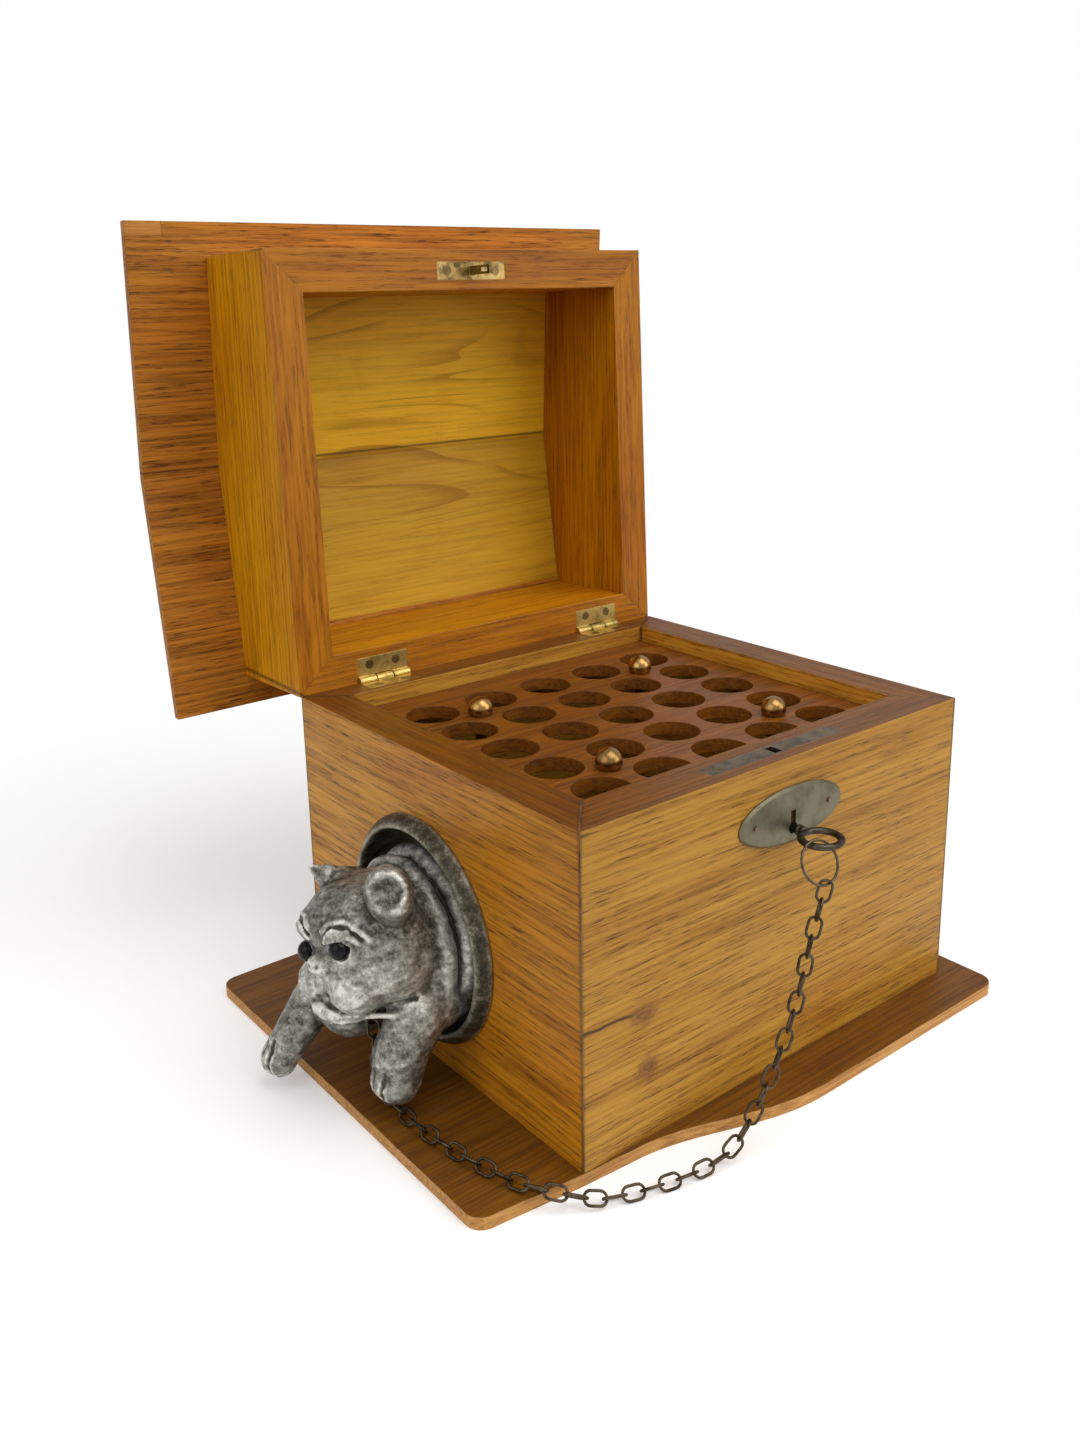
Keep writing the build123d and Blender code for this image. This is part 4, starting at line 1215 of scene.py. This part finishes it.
@dataclass
class Key:
    """The key: a bow of flattened wire, a turned shank with a collar, and a flat bit inside the lock."""

    face_y: float = -95.0
    height: float = 106.5
    bow_reach: float = 15.0
    bow_radius: float = 7.5
    bow_wire: float = 1.5
    bow_flatness: float = 0.86
    bow_steps: int = 64
    wire_sides: int = 16
    shank_gap: float = 0.2
    shank_radius: float = 1.7
    shank_end: float = -82.0
    shank_steps: int = 28
    bit_half: float = 0.8
    bit_outline: tuple[tuple[float, float], ...] = ((0.5, -87.2), (6.2, -87.2), (6.2, -85.9), (4.6, -85.9),
                                                    (4.6, -85.1), (6.2, -85.1), (6.2, -83.8), (0.5, -83.8))
    finish: MetalFinish = field(default_factory=lambda: MetalFinish(
        "key_iron", (84, 76, 66), (40, 32, 26), blotch=150.0, cover=0.75, roughness=0.4))

    def bow(self) -> Array:
        """The bow's points: a level circle of wire, as a (circle, section, 3) array in millimetres."""
        turn = np.linspace(0, 2 * np.pi, self.bow_steps, endpoint=False)
        middle = self.face_y - self.bow_reach
        circle = np.stack([self.bow_radius * np.cos(turn), middle + self.bow_radius * np.sin(turn),
                           np.full(self.bow_steps, self.height)], -1)
        radii = (self.bow_wire, self.bow_wire * self.bow_flatness)
        return ring_tube(circle, np.array([0.0, 0.0, 1.0]), radii, self.wire_sides)

    def shank(self) -> Array:
        """The shank's points: its profile of (distance along, radius) pairs turned about Y."""
        start = self.face_y - self.bow_reach + self.bow_radius + self.shank_gap
        length = self.shank_end - start
        profile = np.array([(0, 0.02), (0, 1.9), (1.2, 2.15), (2.0, 1.75), (2.5, 2.2), (3.4, 2.2),
                            (3.9, 1.5), (5.4, 1.35), (7.2, self.shank_radius),
                            (length - 0.4, self.shank_radius), (length, 1.3), (length, 0.02)])
        middle = np.array([0, start, self.height])
        return lathe(profile, middle, np.array([0, 1.0, 0]), np.array([1.0, 0, 0]), self.shank_steps)

    def build(self) -> list[bpy.types.Object]:
        """Builds the bow, the shank and the bit as one piece."""
        bow, shank = self.bow(), self.shank()
        faces = [grid_faces(self.bow_steps, self.wire_sides, True, True),
                 grid_faces(len(shank), self.shank_steps, False, True) + bow.shape[0] * bow.shape[1]]
        points = np.concatenate([bow.reshape(-1, 3), shank.reshape(-1, 3)]) * MM
        piece = mesh_piece("lock_key", points, np.concatenate(faces), self.finish.dress())
        self.add_bit(piece)
        close_up(piece)
        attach(piece, "key")
        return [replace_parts(piece, "key")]

    def add_bit(self, piece: bpy.types.Object) -> None:
        """Adds the bit to the key's mesh: a blade with a ward notch, drawn as an outline and thickened."""
        mesh = bmesh.new()
        mesh.from_mesh(piece.data)
        low, high = ([mesh.verts.new((x * MM, y * MM, z * MM)) for x, y in self.bit_outline]
                     for z in (self.height - self.bit_half, self.height + self.bit_half))
        mesh.faces.new(low[::-1])
        mesh.faces.new(high)
        for i in range(len(low)):
            j = (i + 1) % len(low)
            mesh.faces.new((low[i], low[j], high[j], high[i]))
        mesh.to_mesh(piece.data)
        mesh.free()


@dataclass
class LidHingeSide:
    """The lid's boards at the hinges: their outer face stands proud, to meet the box with the lid open."""

    nodes: tuple[str, ...] = ("lid_hinge_rail", "lid_dog_gable", "lid_end_gable")
    outer_face: float = 0.13605
    proud: float = 0.0016

    def build_board(self, node: str, material: bpy.types.Material) -> bpy.types.Object:
        """Builds a board from the node's own mesh, with the points on its outer face moved out alike."""
        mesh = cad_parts[node].data.copy()
        points = np.zeros(len(mesh.vertices) * 3)
        mesh.vertices.foreach_get("co", points)
        points = points.reshape(-1, 3)
        points[points[:, 2] < self.outer_face, 2] -= self.proud
        mesh.vertices.foreach_set("co", points.ravel())
        mesh.materials.clear()
        mesh.materials.append(material)
        piece = bpy.data.objects.new(f"{node}_board", mesh)
        bpy.context.scene.collection.objects.link(piece)
        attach(piece, "lid")
        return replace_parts(piece, node)

    def build(self, finishes: dict[str, bpy.types.Material]) -> list[bpy.types.Object]:
        """Builds the three boards."""
        return [self.build_board(node, finishes[node]) for node in self.nodes]


@dataclass
class Cabinet:
    """The CAD nodes that keep their shape: boards, fittings and rack, each with its own finish."""

    half_width: float = 0.105
    half_depth: float = 0.095
    lock_wall: float = 0.020
    hinge_wall: float = 0.013
    side_wall: float = 0.018
    hinge_y: float = 0.0956
    hinge_z: float = 0.1354
    lid_lock_wall: float = 0.018
    lid_hinge_wall: float = 0.014
    lid_side_wall: float = 0.0175
    # The point inside the open lid: the rim's faces that look towards it get painted shade.
    lid_core: Point = (0.0, 0.115, 0.231)
    ridge: Seam = Seam((0, 0, 0.231), (0, 0, 1), 0.0006)
    roof_window: Window = Window(0.0875, 0.1500, 0.3085, ROOF_YELLOW)
    front_knots: tuple[Knot, ...] = (Knot((-0.076, -0.095, 0.056), (0.010, 0.05, 0.006)),
                                     Knot((-0.074, -0.095, 0.034), (0.007, 0.05, 0.008)))
    front_crack: Crack = Crack(0.0590, 0.05, -0.078)
    dog_side_fade: Fade = Fade((0, -1, -0.6), -0.04, 0.02)

    def mitre(self, x: float, y: float) -> Seam:
        """The joint line of a mitred corner, given which corner it is by the signs of x and y."""
        wall = self.hinge_wall if y > 0 else self.lock_wall
        return Seam((x * self.half_width, y * self.half_depth, 0), (wall, -x * y * self.side_wall, 0))

    def lid_mitre(self, x: float, side: float) -> Seam:
        """The joint line of a corner of the open lid's rim, on the side 1 (top) or -1 (below)."""
        height = self.hinge_z + self.hinge_y + side * self.half_depth
        wall = self.lid_lock_wall if side > 0 else self.lid_hinge_wall
        return Seam((x * self.half_width, 0, height), (wall, 0, x * side * self.lid_side_wall))

    def box_woods(self) -> dict[str, WoodFinish]:
        """The finishes of the box's walls."""
        walls = {
            "box_front_panel": WoodFinish(
                "front_board", Grain.X, HONEY, seams=(self.mitre(-1, -1), self.mitre(1, -1)), figure=0.9,
                pores=0.75, knots=self.front_knots, crack=self.front_crack, seed=0.13),
            "box_dog_panel": WoodFinish(
                "dog_side_board", Grain.Y, OAK_DOG_FACE, seams=(self.mitre(-1, -1), self.mitre(-1, 1)),
                pores=0.85, figure=0.7, rich=self.dog_side_fade, seed=0.37),
            "box_end_panel": WoodFinish(
                "end_board", Grain.Y, OAK_DOG_FACE, seams=(self.mitre(1, -1), self.mitre(1, 1)), pores=0.7,
                seed=0.61),
            "box_back_panel": WoodFinish(
                "back_board", Grain.X, HONEY, seams=(self.mitre(-1, 1), self.mitre(1, 1)), seed=0.83),
        }
        return {node: replace(finish, face_tone=RIM_BROWN) for node, finish in walls.items()}

    def lid_woods(self) -> dict[str, WoodFinish]:
        """The finishes of the lid's rim: the two rails, and the gables, which meet both."""
        top, low = ((self.lid_mitre(-1, side), self.lid_mitre(1, side)) for side in (1, -1))
        # All the rim's boards have painted shade on their faces inside the lid.
        gable = WoodFinish("lid_gable_board", Grain.Z, LID_GOLD, face_tone=LID_RED, face=TOWARDS_FRONT,
                           seams=top + low, shade_core=self.lid_core, figure=0.8, seed=1.7)
        rail = replace(gable, grain=Grain.X, figure=0.5)
        return {"lid_lock_rail": replace(rail, name="lid_top_rail", seams=top, seed=1.1),
                "lid_hinge_rail": replace(rail, name="lid_low_rail", seams=low, seed=1.4),
                "lid_dog_gable": gable, "lid_end_gable": gable}

    def woods(self) -> dict[str, WoodFinish]:
        """Each board's finish."""
        roof = WoodFinish("roof_board", Grain.X, ROOF_RED, window=self.roof_window, seams=(self.ridge,),
                          pores=0.85, wear=0.2, roughness=0.5, seed=2.1)
        base = WoodFinish("base_plank", Grain.X, BASE_BROWN, edge_tone=BASE_EDGE, pores=0.3, wear=0.5,
                          roughness=0.5, seed=2.6)
        rack = WoodFinish("rack_board", Grain.X, RACK_BROWN, pores=0.4, wear=0.15, seed=3.1)
        post = WoodFinish("rack_post", Grain.Z, RACK_BROWN, pores=0.4, seed=3.5)
        splice = WoodFinish("roof_splice", Grain.X, SPLICE_PALE, pores=0.2, seed=3.9)
        return self.box_woods() | self.lid_woods() | {
            "roof_lock_slope": roof, "roof_hinge_slope": roof, "base_board": base, "rack_top_board": rack,
            "rack_bottom_board": rack, "rack_posts": post, "roof_corner_splice": splice}

    def metals(self) -> dict[str, MetalFinish]:
        """Each fitting's finish."""
        brass = MetalFinish("hinge_brass", (204, 176, 104), (104, 80, 38), cover=0.6, roughness=0.34)
        link = MetalFinish("link_brass", (176, 148, 92), (52, 42, 26), cover=0.85, roughness=0.36)
        screw = MetalFinish("screw_brass", (128, 106, 66), (62, 48, 28), cover=0.6, roughness=0.36)
        knob = MetalFinish("knob_brass", (176, 138, 80), (92, 64, 36), blotch=70.0, cover=0.5,
                           roughness=0.22)
        plate = MetalFinish("nickelled_plate", (118, 112, 90), (70, 62, 44), blotch=90.0, cover=0.45,
                            roughness=0.4, metallic=0.8)
        steel = MetalFinish("lock_steel", (128, 112, 92), (70, 58, 46), cover=0.6, roughness=0.4)
        iron = MetalFinish("ring_iron", (104, 92, 76), (48, 38, 30), blotch=220.0, cover=0.7, roughness=0.36)
        nodes = (
            (brass, "hinge_left_box_leaf", "hinge_left_lid_leaf", "hinge_right_box_leaf",
             "hinge_right_lid_leaf", "hinge_left_pin", "hinge_right_pin"),
            (screw, "hinge_box_screws", "hinge_lid_screws", "link_plate_screws", "lock_selvage_screws",
             "dog_backplate_screws"),
            (knob, "rack_knobs"),
            (link, "link_plate"),
            (plate, "escutcheon", "dog_backplate"),
            (steel, "escutcheon_pins", "lock_selvage", "lock_case", "lock_bolt"),
            (iron, "key_ring", "collar_ring", "collar_staple"),
        )
        return {node: finish for finish, *names in nodes for node in names}

    def build(self) -> list[bpy.types.Object]:
        """Gives each kept node its material, and builds the lid's boards at the hinges."""
        made: dict[str, bpy.types.Material] = {}
        woods = self.woods()
        dressed = []
        for node, finish in {**woods, **self.metals()}.items():
            if finish.name not in made:
                made[finish.name] = finish.dress()
            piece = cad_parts[node]
            piece.data.materials.clear()
            piece.data.materials.append(made[finish.name])
            dressed.append(piece)
        hinge_side = LidHingeSide()
        return dressed + hinge_side.build({node: made[woods[node].name] for node in hinge_side.nodes})


@dataclass
class Studio:
    """The photograph's camera, a pale floor and soft lamps."""

    eye: Point = (-0.3486, -0.3865, 0.3062)
    forward: Point = (0.60046, 0.76069, -0.24657)
    right: Point = (0.78178, -0.62326, -0.01898)
    lens: float = 31.42
    sensor: float = 36.0
    shift: tuple[float, float] = (-0.0017, -0.0752)
    floor_reach: float = 12.0
    shadow_reach: float = 0.6
    world_light: float = 0.62
    floor_grey: float = 0.86
    floor_glow: float = 0.2
    aim: Point = (0, 0, 0.12)

    def build_camera(self) -> None:
        """Builds the camera at the place and turn that the photograph's corners give."""
        data = bpy.data.cameras.new("photograph")
        data.sensor_fit = "VERTICAL"
        data.sensor_height = self.sensor
        data.sensor_width = self.sensor
        data.lens = self.lens
        data.shift_x, data.shift_y = self.shift
        data.clip_start, data.clip_end = 0.01, 50.0
        camera = bpy.data.objects.new("photograph", data)
        right, forward = Vector(self.right).normalized(), Vector(self.forward).normalized()
        up = right.cross(forward)
        turn = Matrix((right, up, -forward)).transposed()
        camera.matrix_world = Matrix.Translation(self.eye) @ turn.to_4x4()
        bpy.context.scene.collection.objects.link(camera)
        bpy.context.scene.camera = camera

    def build_floor(self) -> None:
        """Builds the floor: a wide pale sheet that keeps the object's shadow."""
        graph = Graph("pale_floor")
        diffuse = graph.add("ShaderNodeBsdfDiffuse")
        diffuse.inputs["Color"].default_value = (*(self.floor_grey,) * 3, 1)
        glow = graph.add("ShaderNodeEmission")
        rays = graph.add("ShaderNodeLightPath")
        seen = graph.math("MAXIMUM", rays.outputs["Is Camera Ray"], rays.outputs["Is Glossy Ray"])
        graph.put(graph.times(seen, self.floor_glow), glow.inputs["Strength"])
        near = graph.add("ShaderNodeAddShader")
        graph.put(diffuse.outputs[0], near.inputs[0])
        graph.put(glow.outputs[0], near.inputs[1])
        white = graph.add("ShaderNodeEmission")
        graph.put(seen, white.inputs["Strength"])
        length = graph.length(graph.scaled((1, 1, 1)))
        far = graph.step(length, self.shadow_reach * 0.4, self.shadow_reach)
        both = graph.add("ShaderNodeMixShader")
        graph.put(far, both.inputs[0])
        graph.put(near.outputs[0], both.inputs[1])
        graph.put(white.outputs[0], both.inputs[2])
        graph.put(both.outputs[0], graph.add("ShaderNodeOutputMaterial").inputs["Surface"])
        reach = self.floor_reach
        square = np.array([(-reach, -reach, 0), (reach, -reach, 0), (reach, reach, 0), (-reach, reach, 0)])
        floor = mesh_piece("floor", square, np.array([[0, 1, 2, 3]]), graph.material)
        floor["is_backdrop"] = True

    def build_lamp(self, name: str, place: Point, size: float, watts: float) -> None:
        """Builds one soft square lamp that faces the box."""
        data = bpy.data.lights.new(name, "AREA")
        data.shape = "SQUARE"
        data.size = size
        data.energy = watts
        lamp = bpy.data.objects.new(name, data)
        lamp.location = place
        lamp.rotation_mode = "QUATERNION"
        lamp.rotation_quaternion = (Vector(self.aim) - Vector(place)).to_track_quat("-Z", "Y")
        bpy.context.scene.collection.objects.link(lamp)

    def build_world(self) -> None:
        """Builds the world: an even light on the object, and white where the camera looks past it."""
        world = bpy.data.worlds.new("white_room")
        world.use_nodes = True
        tree = world.node_tree
        tree.nodes.clear()
        rays = tree.nodes.new("ShaderNodeLightPath")
        seen = tree.nodes.new("ShaderNodeMath")
        seen.operation = "MAXIMUM"
        tree.links.new(rays.outputs["Is Camera Ray"], seen.inputs[0])
        tree.links.new(rays.outputs["Is Transmission Ray"], seen.inputs[1])
        level = tree.nodes.new("ShaderNodeMapRange")
        level.inputs["To Min"].default_value = self.world_light
        level.inputs["To Max"].default_value = 1.0
        tree.links.new(seen.outputs[0], level.inputs["Value"])
        background = tree.nodes.new("ShaderNodeBackground")
        background.inputs["Color"].default_value = (1, 1, 1, 1)
        tree.links.new(level.outputs["Result"], background.inputs["Strength"])
        tree.links.new(background.outputs[0], tree.nodes.new("ShaderNodeOutputWorld").inputs["Surface"])
        bpy.context.scene.world = world

    def build(self) -> None:
        """Builds the studio."""
        bpy.context.scene.view_settings.view_transform = "Standard"
        self.build_camera()
        self.build_floor()
        self.build_world()
        self.build_lamp("high_softbox", (0.15, -0.55, 1.35), 1.1, 9.0)
        self.build_lamp("front_softbox", (0.75, -1.1, 0.75), 0.9, 5.2)
        self.build_lamp("left_fill", (-1.4, -0.2, 0.9), 1.2, 5.0)


def corners(box: tuple[Vector, Vector]) -> list[list[float]]:
    """A box's two corners as plain lists."""
    return [list(corner) for corner in box]


def main() -> None:
    logging.basicConfig(level=logging.INFO, format="%(message)s")
    cad_box = corners(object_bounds())
    Studio().build()
    for assembly in (GuardChain(), Cabinet(), Key(), PortholeRing(), Bulldog()):
        for piece in assembly.build():
            LOG.info("%s: %s", type(assembly).__name__, piece.name)
    {"cad": cad_box, "visual": corners(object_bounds())}


if __name__ == "__main__":
    main()
